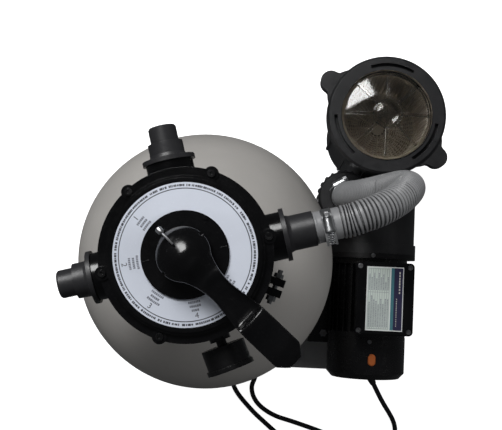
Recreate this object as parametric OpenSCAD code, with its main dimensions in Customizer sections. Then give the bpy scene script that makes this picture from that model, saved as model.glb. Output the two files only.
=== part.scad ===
// Sand filter unit for a small pool: a round tank with a top-mounted
// multiport valve, a circulation pump with a strainer, and their shared base.
// Millimetres. +Z is up, the floor is Z = 0 and the tank's axis is X = Y = 0.
// The pump's shaft runs along Y.

/* [Tank] */
// Outside diameter of the tank at its widest line
tank_d = 350; // [300:1:420]
// Thickness of the tank's wall
tank_wall = 4; // [3:0.5:6]
// Gap between the floor and the lowest point of the tank
tank_lift = 60; // [56:1:80]
// Outside diameter of the tank's neck
neck_d = 150; // [140:1:160]
// Height of the neck above the tank's shoulder
neck_h = 44; // [36:1:60]
// Diameter of the pipe that stands in the tank
standpipe_d = 50; // [40:1:50]

/* [Base] */
// Height of the base's top above the floor
base_h = 46; // [40:1:50]
// Diameter of the base's round end under the tank
base_round_d = 280; // [270:1:320]
// Thickness of the base's walls
base_wall = 4; // [3:0.5:6]
// Diameter of the holes that fasten the base to a floor
base_hole_d = 9; // [7:0.5:11]

/* [Valve] */
// Diameter of the valve's cover and upper flange
valve_d = 191; // [188:1:210]
// Height of the valve's body between its flanges
valve_body_h = 84; // [76:1:100]
// Outside diameter of the printed ring on the cover
label_d = 156; // [140:1:160]
// Inside diameter of the printed ring on the cover
label_hole_d = 95; // [90:1:100]
// Diameter of the stem that turns the rotor
stem_d = 18; // [15:0.5:20]
// Distance from the valve's axis to the tip of the handle
handle_reach = 162; // [150:1:180]
// Width of the handle's arm
handle_w = 30; // [26:1:34]
// Direction that the handle points in at rest
handle_angle = -41; // [-60:1:-20]
// Tilt of the handle when it is pressed down
handle_tilt = 10; // [6:1:10]
// Rise of the stem when the handle is pressed down
stem_rise = 6; // [5:0.5:6]

/* [Hose tails] */
// Outside diameter of the hose tails at their thin end
tail_d = 32; // [28:1:34]
// Outside diameter of the hose tails at their thick end
tail_step_d = 40; // [38:1:44]
// Distance from the valve's axis to the tips of the open hose tails
tail_reach = 150; // [145:1:165]
// Wall of the hose tails
tail_wall = 3; // [2:0.5:4]

/* [Pump] */
// Sideways gap between the tank and the pump's shaft
pump_gap = 61; // [60:1:80]
// Gap between the base and the underside of the motor
motor_lift = 12; // [10:1:30]
// Diameter of the shaft
shaft_d = 12; // [10:0.5:14]
// Outside diameter of the motor
motor_d = 114; // [106:1:118]
// Length of the motor's finned housing
motor_len = 115; // [100:1:120]
// Length of the fan cowl
cowl_len = 60; // [52:1:66]
// Outside diameter of the pump casing
volute_d = 132; // [126:1:134]
// Length of the pump casing along the shaft
volute_len = 92; // [86:1:96]

/* [Strainer] */
// Outside diameter of the strainer pot
pot_d = 136; // [128:1:140]
// Gap between the pump casing's front and the strainer pot
pot_gap = 20; // [16:1:32]
// Height of the lid ring's top above the floor
lid_top_z = 302; // [296:1:330]
// Distance that the lid ring stands out past the pot
lid_ring_over = 11; // [10:0.5:16]
// Diameter of the clear part of the lid
dome_d = 120; // [112:1:124]

/* [Hose and cord] */
// Outside diameter of the transfer hose
hose_d = 38; // [37:0.5:40]
// Diameter of the mains cord
cord_d = 7.5; // [6:0.5:9]

/* [Hidden] */
$fn = 96;

gap = 0.3;                 // clearance between pieces that only lie near each other
run = 0.05;                // radial clearance of a running fit
eps = 0.01;

// --- tank and neck ---
tank_r = tank_d / 2;
tank_z = tank_r + tank_lift;
neck_r = neck_d / 2;
neck_bore_r = neck_r - 6;
neck_base_z = tank_z + sqrt(tank_r * tank_r - neck_r * neck_r) - 3;
neck_top_z = neck_base_z + 3 + neck_h;
neck_flange_t = 8;
neck_flange_r = neck_r + 9;
seat_r = 118;              // the base's round seat under the tank
drain_z = tank_z - 105;
drain_out = sqrt(tank_r * tank_r - 105 * 105);
drain_angle = 200;
drain_r = 10;
drain_boss = 17;             // how far the drain's boss stands out of the tank
pipe_r = standpipe_d / 2;
hub_z = tank_lift + tank_wall + 36;
lateral_r = 8;
lateral_reach = sqrt(pow(tank_r - tank_wall, 2) - pow(tank_z - hub_z + lateral_r, 2)) - 5;

// --- valve ---
valve_r = valve_d / 2;
body_flange_t = 9;
valve_bottom_z = neck_top_z;
cup_r = 71;
cup_wall = 6;
cup_floor_z = valve_bottom_z + body_flange_t + cup_wall;
valve_flange_t = 11;
valve_top_z = valve_bottom_z + body_flange_t + valve_body_h + valve_flange_t;
port_z = valve_bottom_z + body_flange_t + valve_body_h - 30;
port_r = 27;
port_end = valve_r + 12.5;
port_bore_r = 18;
PORT_ANGLES = [15, 105, 195];
SCREW_ANGLES = [for (i = [0:5]) 15 + 60 * i];
screw_ring_r = valve_r - 3.5;
gauge_angle = 293;
gauge_r = 25;
gauge_depth = 27;
gauge_from = valve_r + 11;
cover_flange_t = 8;
cover_rise = 8;
label_t = 0.6;
label_z = valve_top_z + cover_flange_t + cover_rise - label_t;
cover_top_z = label_z + label_t;
hub_top_z = cover_top_z + 3;
cover_hollow_z = cover_top_z - 5;
stem_r = stem_d / 2;
rotor_plate_z = port_z + port_bore_r + 2;
rotor_plate_t = 8;
rotor_r = cup_r - cup_wall - 2;
washer_t = 3;
washer_z = hub_top_z + gap;
handle_hub_r = 28;
handle_z = washer_z + washer_t + gap;
pin_z = handle_z + 18.5;
pin_r = 3;
handle_top_z = handle_z + 37;
paddle_from = 98;
stem_top_z = pin_z + 8;

// --- hose tails ---
tail_r = tail_d / 2;
tail_step_r = tail_step_d / 2;
tail_flange_r = 30;
tail_flange_t = 5;
tail_from = port_end;

// --- pump and motor ---
pump_x = tank_r + pump_gap;
shaft_r = shaft_d / 2;
motor_r = motor_d / 2;
casing_back_y = 23;
plate_t = 8;
motor_front_y = casing_back_y - plate_t;
motor_back_y = motor_front_y - motor_len;
cowl_back_y = motor_back_y - cowl_len;
volute_r = volute_d / 2;
volute_wall = 6;
casing_flange_r = volute_r + 2.4;
shaft_z = base_h + max(motor_r + motor_lift, casing_flange_r + gap);
casing_front_y = casing_back_y + volute_len;
impeller_r = 48;
impeller_y = casing_back_y + 30;
bearing_r = 17.5;
bearing_w = 11;
seal_r = 14;
core_from = motor_back_y + 26;
core_len = motor_len - 54;
rotor_core_r = 30;

// --- strainer ---
pot_r = pot_d / 2;
pot_y = casing_front_y + pot_gap + pot_r;
pot_wall = 5;
pot_bottom_z = base_h + 12;
ring_h = 20;
ring_r = pot_r + lid_ring_over;
ring_lug_r = 14;
ring_lug_at = ring_r + 8;
ring_z = lid_top_z - ring_h;
dome_r = dome_d / 2;
pot_rim_z = ring_z + 3;
pot_rim_r = ring_r - 6;
inlet_z = lid_top_z - 100;
inlet_bore_r = 20;
inlet_r = 27;
basket_top_z = pot_rim_z - 3;
basket_h = 105;
basket_r = pot_r - pot_wall - 3;
ledge_z = basket_top_z - 4 - gap;

// --- discharge ---
outlet_x = pump_x - volute_r + 20;
outlet_y = casing_back_y + 75;
outlet_r = 24;
nut_r = 39;
nut_z = shaft_z + volute_r + 6;
nut_h = 30;
outlet_top_z = nut_z + 12;
spigot_top_z = nut_z + nut_h + 28;

// --- terminal box ---
box_x = 82;
box_y = 102;
box_cx = pump_x + 15;
box_cy = motor_front_y - box_y / 2 - 6;
box_bottom_z = shaft_z + motor_r - 12;
box_top_z = shaft_z + motor_r + 31;
lid_t = 12;
box_wall = 3;
plate_x = 52;
plate_y = 90;

// --- base ---
base_right = pump_x + 56;
base_left = 84;
base_rear = cowl_back_y + 3;
base_front = casing_front_y - 6;
foot_t = 6;
foot_left = tank_r - 24;
FOOT_SCREWS = [for (x = [tank_r, pump_x + 47], y = [motor_back_y - 1, motor_front_y - 35]) [x, y]];
BASE_HOLES = [[-90, -90], [-90, 90], [base_right - 12, base_rear + 12], [base_right - 12, base_front - 12]];

// --- hose route, from the pump's discharge to the valve, chosen by hand ---
port_dir = [cos(PORT_ANGLES[0]), sin(PORT_ANGLES[0]), 0];
outlet_point = [outlet_x, outlet_y, 0];
pump_tail_step = tail_from + tail_flange_t + 31;
pump_tail_tip = pump_tail_step + 30;
hose_start_z = nut_z + nut_h + 4;
HOSE_ROUTE = concat(
    [for (p = [[0, 0, 0], [0, 0, 14], [0, 0, 28], [4, -1, 50], [14, -2, 79], [29, -1, 114], [46, 1, 149],
        [58, 1, 183], [62, -4, 214], [53, -15, 243], [38, -27, 264], [20, -37.5, 275.5], [2, -45, 279.6]])
        outlet_point + [0, 0, hose_start_z] + p],
    [for (t = [42, 30, 12, 0.5]) [0, 0, port_z] + port_dir * (pump_tail_step + t)]);

// --- cord route on the floor, chosen by hand ---
cord_r = cord_d / 2;
relief_len = 26;
relief_r = 8;
relief_turn = -60;
relief_drop = 34;
relief_from = [pump_x + 8, cowl_back_y + 4, shaft_z - 44];
relief_dir = [cos(relief_turn) * cos(relief_drop), sin(relief_turn) * cos(relief_drop), -sin(relief_drop)];
cord_exit = relief_from + relief_dir * relief_len;
CORD_ROUTE = concat([cord_exit, cord_exit + relief_dir * 8],
    [[264.4, -191.3, 42.6], [271.5, -203, 31], [279, -214.2, 19.5], [286.5, -225, 10.8], [293, -236, 6],
    [297, -248, 4.2], [297, -260, 4], [291.5, -271, 4], [281, -279.5, 4], [267, -284.5, 4], [250, -285.5, 4],
    [232, -281.5, 4], [208, -272, 4], [182, -261, 4], [157, -253, 4], [131, -245.5, 4], [109, -239.5, 4],
    [91, -231, 4], [77.5, -220.5, 4], [69, -207.5, 4], [66.5, -193.5, 4], [70.5, -180.5, 4], [74, -167.2, 4],
    [73.5, -155.9, 4], [67.5, -146.2, 4], [57.7, -140.7, 4], [46.3, -140.7, 4], [36.5, -146.2, 4],
    [30.5, -155.9, 4], [30, -167.2, 4], [33.5, -180.5, 4], [37.5, -194, 4], [45, -206.5, 4], [56, -219, 4],
    [72, -235, 4], [88, -248.5, 4], [102, -260, 4], [113, -268.5, 4]]);
coil_at = [105, -323];
coil_mid_r = 41;
coil_h = 2 * cord_d + 1;
coil_w = 3 * cord_d + 1;
PLUG_ROUTE = [[155.1, -346, 4], [159.1, -353.2, 4], [164.1, -359.1, 4.2], [170.4, -363.2, 5],
    [177.4, -365.9, 6.2], [185.1, -366.8, 8], [198, -366.4, 12], [210, -365.6, 16], [220, -365, 18.5]];
plug_r = 18.5;
plug_from = [220, -365, 18.5];
plug_len = 36;

function unit(v) = v / norm(v);

// Point at fraction u of the span after point i, on a smooth curve through p
function on_curve(p, i, u) =
    let (a = p[max(i - 1, 0)], b = p[i], c = p[i + 1], d = p[min(i + 2, len(p) - 1)])
    0.5 * (2 * b + (c - a) * u + (2 * a - 5 * b + 4 * c - d) * u * u + (3 * b - a - 3 * c + d) * u * u * u);

// The route with `steps` points on each of its spans
function smooth_route(p, steps) =
    concat([for (i = [0:len(p) - 2], k = [0:steps - 1]) on_curve(p, i, k / steps)], [p[len(p) - 1]]);

function ring_points(at, along, side, r, n) =
    let (a = unit(cross(along, side)), b = cross(a, along))
    [for (k = [0:n - 1]) at + r * cos(360 * k / n) * a + r * sin(360 * k / n) * b];

// A round bar that follows a path. `side` is any direction that the path never takes.
module swept_bar(path, side, r, n) {
    last = len(path) - 1;
    points = [for (i = [0:last])
        each ring_points(path[i], unit(path[min(i + 1, last)] - path[max(i - 1, 0)]), side, r, n)];
    walls = [for (i = [0:last - 1], k = [0:n - 1])
        each [[i * n + k, i * n + (k + 1) % n, (i + 1) * n + (k + 1) % n],
              [i * n + k, (i + 1) * n + (k + 1) % n, (i + 1) * n + k]]];
    caps = [[for (k = [n - 1:-1:0]) k], [for (k = [0:n - 1]) last * n + k]];
    polyhedron(points, concat(walls, caps), convexity = 8);
}

module at_z(z) translate([0, 0, z]) children();
module radial(angle, from, z) rotate([0, 0, angle]) translate([from, 0, z]) rotate([0, 90, 0]) children();
// Puts a shape drawn along +Z on the pump's shaft line, running towards -Y from y
module on_shaft(y) translate([pump_x, y, shaft_z]) rotate([90, 0, 0]) children();
module at_pot(z) translate([pump_x, pot_y, z]) children();
module tube(r_out, r_in, h) difference() {
    cylinder(r = r_out, h = h);
    translate([0, 0, -1]) cylinder(r = r_in, h = h + 2);
}
module round_ring(r, thick_r) rotate_extrude() translate([r, 0]) circle(r = thick_r, $fn = 24);

// ---------------- base and tank ----------------
module base_outline(inset) {
    circle(r = base_round_d / 2 - inset);
    corner = 20;
    x0 = base_left + inset;
    y0 = base_rear + inset;
    wide = base_right - base_left - 2 * inset;
    deep = base_front - base_rear - 2 * inset;
    translate([x0 + corner, y0]) square([wide - 2 * corner, deep]);
    translate([x0, y0 + corner]) square([wide, deep - 2 * corner]);
    for (x = [x0 + corner, x0 + wide - corner], y = [y0 + corner, y0 + deep - corner])
        translate([x, y]) circle(r = corner);
}

module base_plate() color("#4a4a4b") difference() {
    union() {
        difference() {
            linear_extrude(base_h) base_outline(0);
            at_z(-1) linear_extrude(base_h - base_wall + 1) base_outline(base_wall);
        }
        at_z(base_h - base_wall) cylinder(r = seat_r, h = 64);
        cylinder(r = 24, h = base_h);
        for (p = BASE_HOLES) translate(p) cylinder(r = base_hole_d / 2 + 6, h = base_h);
        for (p = FOOT_SCREWS) translate([p[0], p[1], 12]) cylinder(r = 9, h = base_h - 12);
    }
    at_z(tank_z) sphere(r = tank_r + 0.1);
    at_z(base_h) cylinder(r = seat_r - 14, h = 80);
    for (p = BASE_HOLES) translate([p[0], p[1], -1]) cylinder(r = base_hole_d / 2, h = base_h + 80);
    for (p = FOOT_SCREWS) translate([p[0], p[1], base_h - 22]) cylinder(r = 2.5, h = 23);
}

module tank_shell() color("#96938f") difference() {
    union() {
        at_z(tank_z) sphere(r = tank_r);
        at_z(neck_base_z) cylinder(r = neck_r, h = neck_top_z - neck_base_z);
        at_z(neck_top_z - neck_flange_t) cylinder(r = neck_flange_r, h = neck_flange_t);
        radial(drain_angle, drain_out - 14, drain_z) cylinder(r = 17, h = 14 + drain_boss);
    }
    at_z(tank_z) sphere(r = tank_r - tank_wall);
    at_z(tank_z) cylinder(r = neck_bore_r, h = tank_r + neck_h + 10);
    radial(drain_angle, drain_out - 30, drain_z) cylinder(r = drain_r, h = 60);
}

module standpipe() color("#d8d8d4") at_z(hub_z + 22)
    tube(pipe_r, pipe_r - 2.5, valve_bottom_z + body_flange_t - hub_z - 22 - gap);

module lateral_hub() color("#d8d8d4") difference() {
    at_z(hub_z - 14) cylinder(r = pipe_r + 8, h = 46);
    at_z(hub_z + 22) cylinder(r = pipe_r, h = 20);
    at_z(hub_z - 10) cylinder(r = pipe_r - 6, h = 40);
    for (i = [0:5]) radial(60 * i, pipe_r - 10, hub_z) cylinder(r = lateral_r + run, h = 40);
}

module lateral_tubes() color("#e2e2de") for (i = [0:5]) difference() {
    radial(60 * i, pipe_r - 2, hub_z) cylinder(r = lateral_r, h = lateral_reach - pipe_r + 2);
    radial(60 * i, pipe_r - 3, hub_z) cylinder(r = lateral_r - 2, h = lateral_reach - pipe_r);
    for (k = [0:6]) rotate([0, 0, 60 * i]) translate([pipe_r + 14 + 7 * k, -10, hub_z + 2]) cube([1.2, 20, lateral_r]);
}

module tank_drain_plug() color("#1c1c1e") {
    radial(drain_angle, drain_out + drain_boss + gap, drain_z) cylinder(r = 19, h = 8);
    radial(drain_angle, drain_out - 8, drain_z) cylinder(r = drain_r - gap, h = drain_boss + 9);
    for (i = [0:11]) radial(drain_angle, drain_out + drain_boss + gap, drain_z)
        rotate([0, 0, 30 * i]) translate([19, 0, 0]) cylinder(r = 1.2, h = 8, $fn = 16);
}

// ---------------- neck clamp ----------------
clamp_angle = -17.5;
clamp_out = neck_flange_r + 6;
clamp_low_z = neck_top_z - neck_flange_t - 4;
clamp_high_z = neck_top_z + body_flange_t + 4;
ear_out = clamp_out + 22;
ear_t = 9;

module clamp_half(side) color("#1a1a1c") rotate([0, 0, clamp_angle]) difference() {
    union() {
        intersection() {
            at_z(clamp_low_z) tube(clamp_out, neck_r + 1, clamp_high_z - clamp_low_z);
            translate([-150, side > 0 ? 2 : -152, 0]) cube([300, 150, 600]);
        }
        for (x = [-ear_out, clamp_out - 4])
            translate([x, side > 0 ? 2 : -2 - ear_t, clamp_low_z]) cube([ear_out - clamp_out + 4, ear_t, clamp_high_z - clamp_low_z]);
    }
    at_z(neck_top_z - neck_flange_t - gap) cylinder(r = neck_flange_r + gap, h = neck_flange_t + body_flange_t + 2 * gap);
    at_z(neck_top_z + 2) cylinder(r = cup_r + 1, h = 60);
    for (x = [-1, 1]) translate([x * (clamp_out + 12), -40, (clamp_low_z + clamp_high_z) / 2])
        rotate([-90, 0, 0]) cylinder(r = 3.2, h = 80, $fn = 32);
}
module clamp_half_front() clamp_half(-1);
module clamp_half_rear() clamp_half(1);

module clamp_bolts() color("#b8babc") rotate([0, 0, clamp_angle]) for (x = [-1, 1])
    translate([x * (clamp_out + 12), 0, (clamp_low_z + clamp_high_z) / 2]) rotate([-90, 0, 0]) {
        at_z(-21) cylinder(r = 3, h = 42, $fn = 32);
        at_z(-2 - ear_t - 6 - gap) cylinder(r = 5.8, h = 6, $fn = 6);
        at_z(2 + ear_t + gap) cylinder(r = 5.8, h = 5, $fn = 6);
    }

groove_r = 71.5;
module neck_oring() color("#111112") at_z(neck_top_z + 2.5) round_ring(groove_r, 2.5);

// ---------------- multiport valve ----------------
module valve_body() color("#18181a") difference() {
    union() {
        at_z(valve_bottom_z - 18) cylinder(r = neck_bore_r - gap, h = 20);
        at_z(valve_bottom_z) cylinder(r = neck_flange_r, h = body_flange_t);
        at_z(valve_bottom_z + 1) cylinder(r = cup_r, h = body_flange_t + valve_body_h);
        at_z(valve_top_z - valve_flange_t) cylinder(r = valve_r, h = valve_flange_t);
        for (a = PORT_ANGLES) radial(a, cup_r - 8, port_z) cylinder(r = port_r, h = port_end - cup_r + 8);
        radial(gauge_angle, cup_r - 8, port_z) cylinder(r = 12, h = gauge_from - cup_r + 2);
        for (a = SCREW_ANGLES) rotate([0, 0, a]) translate([screw_ring_r, 0, valve_top_z - valve_flange_t])
            cylinder(r = 8, h = valve_flange_t);
    }
    at_z(cup_floor_z) cylinder(r = cup_r - cup_wall, h = valve_body_h + 40);
    at_z(valve_bottom_z - 20) cylinder(r = pipe_r + run, h = 20 + body_flange_t);
    at_z(valve_bottom_z - 20) cylinder(r = pipe_r - 6, h = 60);
    for (i = [0:2]) rotate([0, 0, 120 * i + 45]) translate([46, 0, valve_bottom_z - 20]) cylinder(r = 12, h = 60);
    at_z(valve_bottom_z - eps) tube(groove_r + 2.7, groove_r - 2.7, 5 + gap);
    for (a = PORT_ANGLES) radial(a, cup_r - 14, port_z) cylinder(r = port_bore_r, h = 80);
    radial(gauge_angle, cup_r - 14, port_z) cylinder(r = 6, h = 80);
    for (a = SCREW_ANGLES) rotate([0, 0, a]) translate([screw_ring_r, 0, valve_top_z - valve_flange_t - 2])
        cylinder(r = 2, h = valve_flange_t + 4, $fn = 32);
}

gasket_t = 3;
module spider_gasket() color("#101011") at_z(cup_floor_z) difference() {
    cylinder(r = rotor_r, h = gasket_t);
    at_z(-1) cylinder(r = pipe_r - 4, h = gasket_t + 2);
    for (i = [0:2]) rotate([0, 0, 120 * i + 45]) translate([46, 0, -1]) cylinder(r = 13, h = gasket_t + 2);
}

rotor_foot_z = cup_floor_z + gasket_t + gap;
module valve_rotor() color("#e6e4de") difference() {
    union() {
        at_z(rotor_plate_z) cylinder(r = rotor_r, h = rotor_plate_t);
        at_z(rotor_foot_z) cylinder(r = pipe_r + 2, h = rotor_plate_z - rotor_foot_z + 1);
        for (i = [0:2]) rotate([0, 0, 120 * i + handle_angle])
            translate([pipe_r, -2.5, rotor_foot_z + 2]) cube([rotor_r - pipe_r - 3, 5, rotor_plate_z - rotor_foot_z]);
        at_z(rotor_plate_z) cylinder(r = stem_r, h = stem_top_z - rotor_plate_z);
    }
    at_z(rotor_foot_z - 1) cylinder(r = pipe_r - 4, h = rotor_plate_z - rotor_foot_z - 2);
    rotate([0, 0, handle_angle]) translate([0, 40, pin_z]) rotate([90, 0, 0]) cylinder(r = pin_r, h = 80, $fn = 48);
}

spring_low_z = rotor_plate_z + rotor_plate_t + gap;
spring_high_z = cover_hollow_z - gap;
spring_wire_r = 1.6;
spring_turns = 4;
module rotor_spring() color("#c4c6c8") {
    steps = 24 * spring_turns;
    rise = spring_high_z - spring_low_z - 2 * spring_wire_r;
    swept_bar([for (i = [0:steps]) [(stem_r + 5) * cos(15 * i), (stem_r + 5) * sin(15 * i),
        spring_low_z + spring_wire_r + rise * i / steps]], [0, 0, 1], spring_wire_r, 8);
}

module valve_cover() color("#151517") difference() {
    union() {
        at_z(valve_top_z) cylinder(r = valve_r, h = cover_flange_t);
        at_z(valve_top_z) cylinder(r = label_d / 2 + 8, h = cover_flange_t + cover_rise - 3);
        at_z(valve_top_z) cylinder(r = label_d / 2 + 5, h = cover_flange_t + cover_rise);
        at_z(valve_top_z) cylinder(r = label_hole_d / 2, h = hub_top_z - valve_top_z);
        for (a = SCREW_ANGLES) rotate([0, 0, a]) translate([screw_ring_r, 0, valve_top_z]) cylinder(r = 8, h = cover_flange_t + 2);
        rotate([0, 0, 63]) translate([label_hole_d / 2 - 2, 0, cover_top_z]) cylinder(r = 2.5, h = 5, $fn = 32);
    }
    at_z(valve_top_z - 1) cylinder(r = cup_r - cup_wall, h = cover_hollow_z - valve_top_z + 1);
    at_z(label_z) tube(label_d / 2 + gap, label_hole_d / 2, 10);
    at_z(valve_top_z) cylinder(r = stem_r + run, h = 60);
    for (a = SCREW_ANGLES) rotate([0, 0, a]) translate([screw_ring_r, 0, valve_top_z - 1]) cylinder(r = 2.5, h = 40, $fn = 32);
}

module cover_screws() color("#c8cacc") for (a = SCREW_ANGLES) rotate([0, 0, a])
    translate([screw_ring_r, 0, valve_top_z + cover_flange_t + 2]) difference() {
        union() {
            cylinder(r = 4.2, h = 3, $fn = 48);
            at_z(-16) cylinder(r = 2, h = 17, $fn = 32);
        }
        at_z(1.6) cylinder(r = 2, h = 3, $fn = 6);
    }

module position_label() color("#e6e9ef") at_z(label_z) tube(label_d / 2, label_hole_d / 2 + gap, label_t);

module pressure_washer() color("#2a2a2c") at_z(washer_z) tube(handle_hub_r - 4, stem_r + run, washer_t);

// The handle is drawn pointing along +X, and turned to its direction at rest
arm_low_z = handle_z + 12;
arm_top_z = handle_z + 28;
module handle_arm() translate([0, 0, arm_low_z]) {
    linear_extrude(arm_top_z - arm_low_z) polygon([
        [0, -handle_w / 2], [paddle_from, -handle_w / 2 - 1], [handle_reach - 12, -handle_w / 2 - 2],
        [handle_reach, -handle_w / 4], [handle_reach, handle_w / 4],
        [handle_reach - 12, handle_w / 2 + 2], [paddle_from, handle_w / 2 + 1], [0, handle_w / 2]]);
}
module valve_handle() color("#0f0f11") rotate([0, 0, handle_angle]) difference() {
    union() {
        at_z(handle_z) cylinder(r = handle_hub_r - 4, h = 13);
        intersection() {
            at_z(handle_z + 10) cylinder(r = handle_hub_r, h = 30);
            at_z(handle_top_z - 40) sphere(r = 40);
        }
        handle_arm();
    }
    translate([-14, -stem_r - gap, handle_z - 1]) cube([28, stem_d + 2 * gap, stem_top_z - handle_z + 4]);
    translate([0, 60, pin_z]) rotate([90, 0, 0]) cylinder(r = pin_r + run, h = 120, $fn = 48);
}

module handle_pin() color("#c9ccd0") rotate([0, 0, handle_angle])
    translate([0, handle_hub_r - 2, pin_z]) rotate([90, 0, 0]) cylinder(r = pin_r, h = 2 * handle_hub_r - 4, $fn = 48);

// ---------------- hose tails and gauge ----------------
module hose_tail(angle, step_at, tip_at) color("#1b1b1d") radial(angle, 0, port_z) difference() {
    union() {
        at_z(tail_from) cylinder(r = tail_flange_r, h = tail_flange_t);
        at_z(tail_from - 14) cylinder(r = port_bore_r - gap, h = 15);
        at_z(tail_from + tail_flange_t - 1) cylinder(r1 = tail_step_r + 2, r2 = tail_step_r, h = 6);
        at_z(tail_from + 3) cylinder(r = tail_step_r, h = step_at - tail_from - 3);
        at_z(step_at - 1) cylinder(r = tail_r, h = tip_at - step_at - 1);
        at_z(tip_at - 2) cylinder(r1 = tail_r, r2 = tail_r - 1.5, h = 2);
    }
    at_z(tail_from - 20) cylinder(r = tail_r - tail_wall, h = 200);
}
open_tail_step = tail_reach - 19;
module hose_tail_pump() hose_tail(PORT_ANGLES[0], pump_tail_step, pump_tail_tip);
module hose_tail_return() hose_tail(PORT_ANGLES[1], open_tail_step, tail_reach);
module hose_tail_waste() hose_tail(PORT_ANGLES[2], open_tail_step, tail_reach);

module gauge_place() radial(gauge_angle, gauge_from, port_z) children();
module gauge_case() color("#141416") gauge_place() difference() {
    union() {
        cylinder(r = gauge_r, h = gauge_depth);
        at_z(-8) cylinder(r = 5.8, h = 9);
        at_z(gauge_depth - 4) cylinder(r = gauge_r + 2, h = 5);
    }
    at_z(gauge_depth - 10) cylinder(r = gauge_r - 2, h = 20);
}
dial_at = gauge_depth - 10;
module gauge_dial() color("#eceeef") gauge_place() difference() {
    at_z(dial_at) cylinder(r = gauge_r - 2 - gap, h = 1);
    at_z(dial_at - 1) cylinder(r = 1.5, h = 4, $fn = 24);
}
module gauge_needle() color("#b01818") gauge_place() at_z(dial_at + 1 + gap) difference() {
    union() {
        cylinder(r = 3.5, h = 1.4, $fn = 48);
        rotate([0, 0, 225]) translate([-5, -0.8, 0]) cube([gauge_r - 3, 1.6, 0.8]);
    }
    at_z(-1) cylinder(r = 0.6, h = 4, $fn = 24);
}
module gauge_lens() color("#dfe8ee", 0.35) gauge_place() at_z(gauge_depth - 3) cylinder(r = gauge_r - 2 - gap, h = 2.5);

// ---------------- strainer ----------------
module strainer_pot() color("#2f2f31") difference() {
    union() {
        at_pot(pot_bottom_z) cylinder(r = pot_r, h = pot_rim_z - pot_bottom_z);
        at_pot(pot_rim_z - 14) cylinder(r1 = pot_r, r2 = pot_rim_r, h = 8);
        at_pot(pot_rim_z - 6) cylinder(r = pot_rim_r, h = 6);
        for (i = [0:11]) at_pot(pot_bottom_z + 10) rotate([0, 0, 30 * i + 15])
            translate([pot_r - 2, -2, 0]) cube([5, 4, pot_rim_z - pot_bottom_z - 18]);
        translate([pump_x, pot_y, inlet_z]) rotate([-90, 0, 0]) cylinder(r = inlet_r, h = ring_r);
        translate([pump_x, casing_front_y, shaft_z]) rotate([-90, 0, 0]) cylinder(r = 30, h = 40);
        at_pot(pot_bottom_z - 8) cylinder(r = 14, h = 12);
    }
    at_pot(pot_bottom_z + pot_wall) cylinder(r = basket_r - 2.5, h = 300);
    at_pot(pot_bottom_z + pot_wall) cylinder(r = pot_r - pot_wall, h = ledge_z - pot_bottom_z - pot_wall - 4);
    at_pot(ledge_z) cylinder(r = pot_r - pot_wall, h = 100);
    translate([pump_x, pot_y, inlet_z]) rotate([-90, 0, 0]) cylinder(r = inlet_bore_r, h = 200);
    translate([pump_x, casing_front_y - 1, shaft_z]) rotate([-90, 0, 0]) cylinder(r = 24, h = 60);
    at_pot(pot_bottom_z - 9) cylinder(r = 7, h = 30);
    at_pot(pot_rim_z - 4.5) tube(pot_rim_r - 1.8, pot_rim_r - 7.2, 6);
}

module strainer_basket() color("#c9cac8") at_pot(0) difference() {
    union() {
        at_z(basket_top_z - basket_h) cylinder(r1 = basket_r - 6, r2 = basket_r - 3, h = basket_h);
        at_z(basket_top_z - 4) cylinder(r = basket_r, h = 3);
    }
    at_z(basket_top_z - basket_h + 2.5) cylinder(r1 = basket_r - 8.5, r2 = basket_r - 5.5, h = basket_h);
    for (i = [0:11], k = [0:3]) rotate([0, 0, 30 * i]) translate([basket_r - 16, -4, basket_top_z - basket_h + 12 + 22 * k])
        cube([20, 8, 14]);
    for (i = [0:7]) rotate([0, 0, 45 * i]) translate([18, -5, basket_top_z - basket_h - 1]) cube([basket_r - 32, 10, 6]);
}

lid_seat_z = pot_rim_z + gap;
module lid_ring() color("#2b2b2d") at_pot(0) difference() {
    union() {
        at_z(ring_z - 12) cylinder(r = ring_r, h = ring_h + 9);
        at_z(lid_top_z - 3 - eps) cylinder(r1 = ring_r, r2 = ring_r - 3, h = 3);
        for (a = [150, -38]) rotate([0, 0, a]) at_z(ring_z - 4) {
            translate([ring_lug_at, 0, 0]) cylinder(r = ring_lug_r, h = ring_h);
            linear_extrude(ring_h) polygon([
                [ring_r - 12, -30], [ring_r - 6, -27], [ring_r, -20.5], [ring_r + 3.5, -15.5],
                [ring_lug_at, -ring_lug_r + 0.2],
                [ring_lug_at, ring_lug_r - 0.2], [ring_r + 3.5, 15.5], [ring_r, 20.5], [ring_r - 6, 27], [ring_r - 12, 30]]);
        }
    }
    at_z(ring_z - 13) cylinder(r = pot_rim_r + 2, h = lid_seat_z + 6 - ring_z + 13);
    at_z(ring_z - 20) cylinder(r = dome_r + gap, h = 60);
    for (a = [60, 182, 302]) rotate([0, 0, a]) lid_slot();
}
// A curved slot in the lid ring, 50 degrees long
module lid_slot() at_z(ring_z + 12) rotate_extrude(angle = 50) translate([dome_r + 5, 0]) square([4.5, 20]);

module lid_dome() color("#cfd3d6", 0.35) at_pot(0) difference() {
    union() {
        at_z(lid_seat_z) cylinder(r = pot_rim_r - 1, h = 5);
        at_z(lid_seat_z) cylinder(r = dome_r, h = lid_top_z - lid_seat_z + 2);
        intersection() {
            at_z(lid_top_z) cylinder(r = dome_r, h = 30);
            at_z(lid_top_z + 10 - 190) sphere(r = 190);
        }
    }
    difference() {
        at_z(lid_seat_z - 1) cylinder(r = dome_r - 4, h = 60);
        at_z(lid_top_z - 2) cylinder(r = dome_r, h = 60);
    }
    intersection() {
        at_z(lid_top_z - 3) cylinder(r = dome_r - 4, h = 30);
        at_z(lid_top_z + 6 - 190) sphere(r = 190);
    }
}

module lid_oring() color("#0e0e0f") at_pot(lid_seat_z - 2.2) round_ring(pot_rim_r - 4.5, 2.1);

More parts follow.
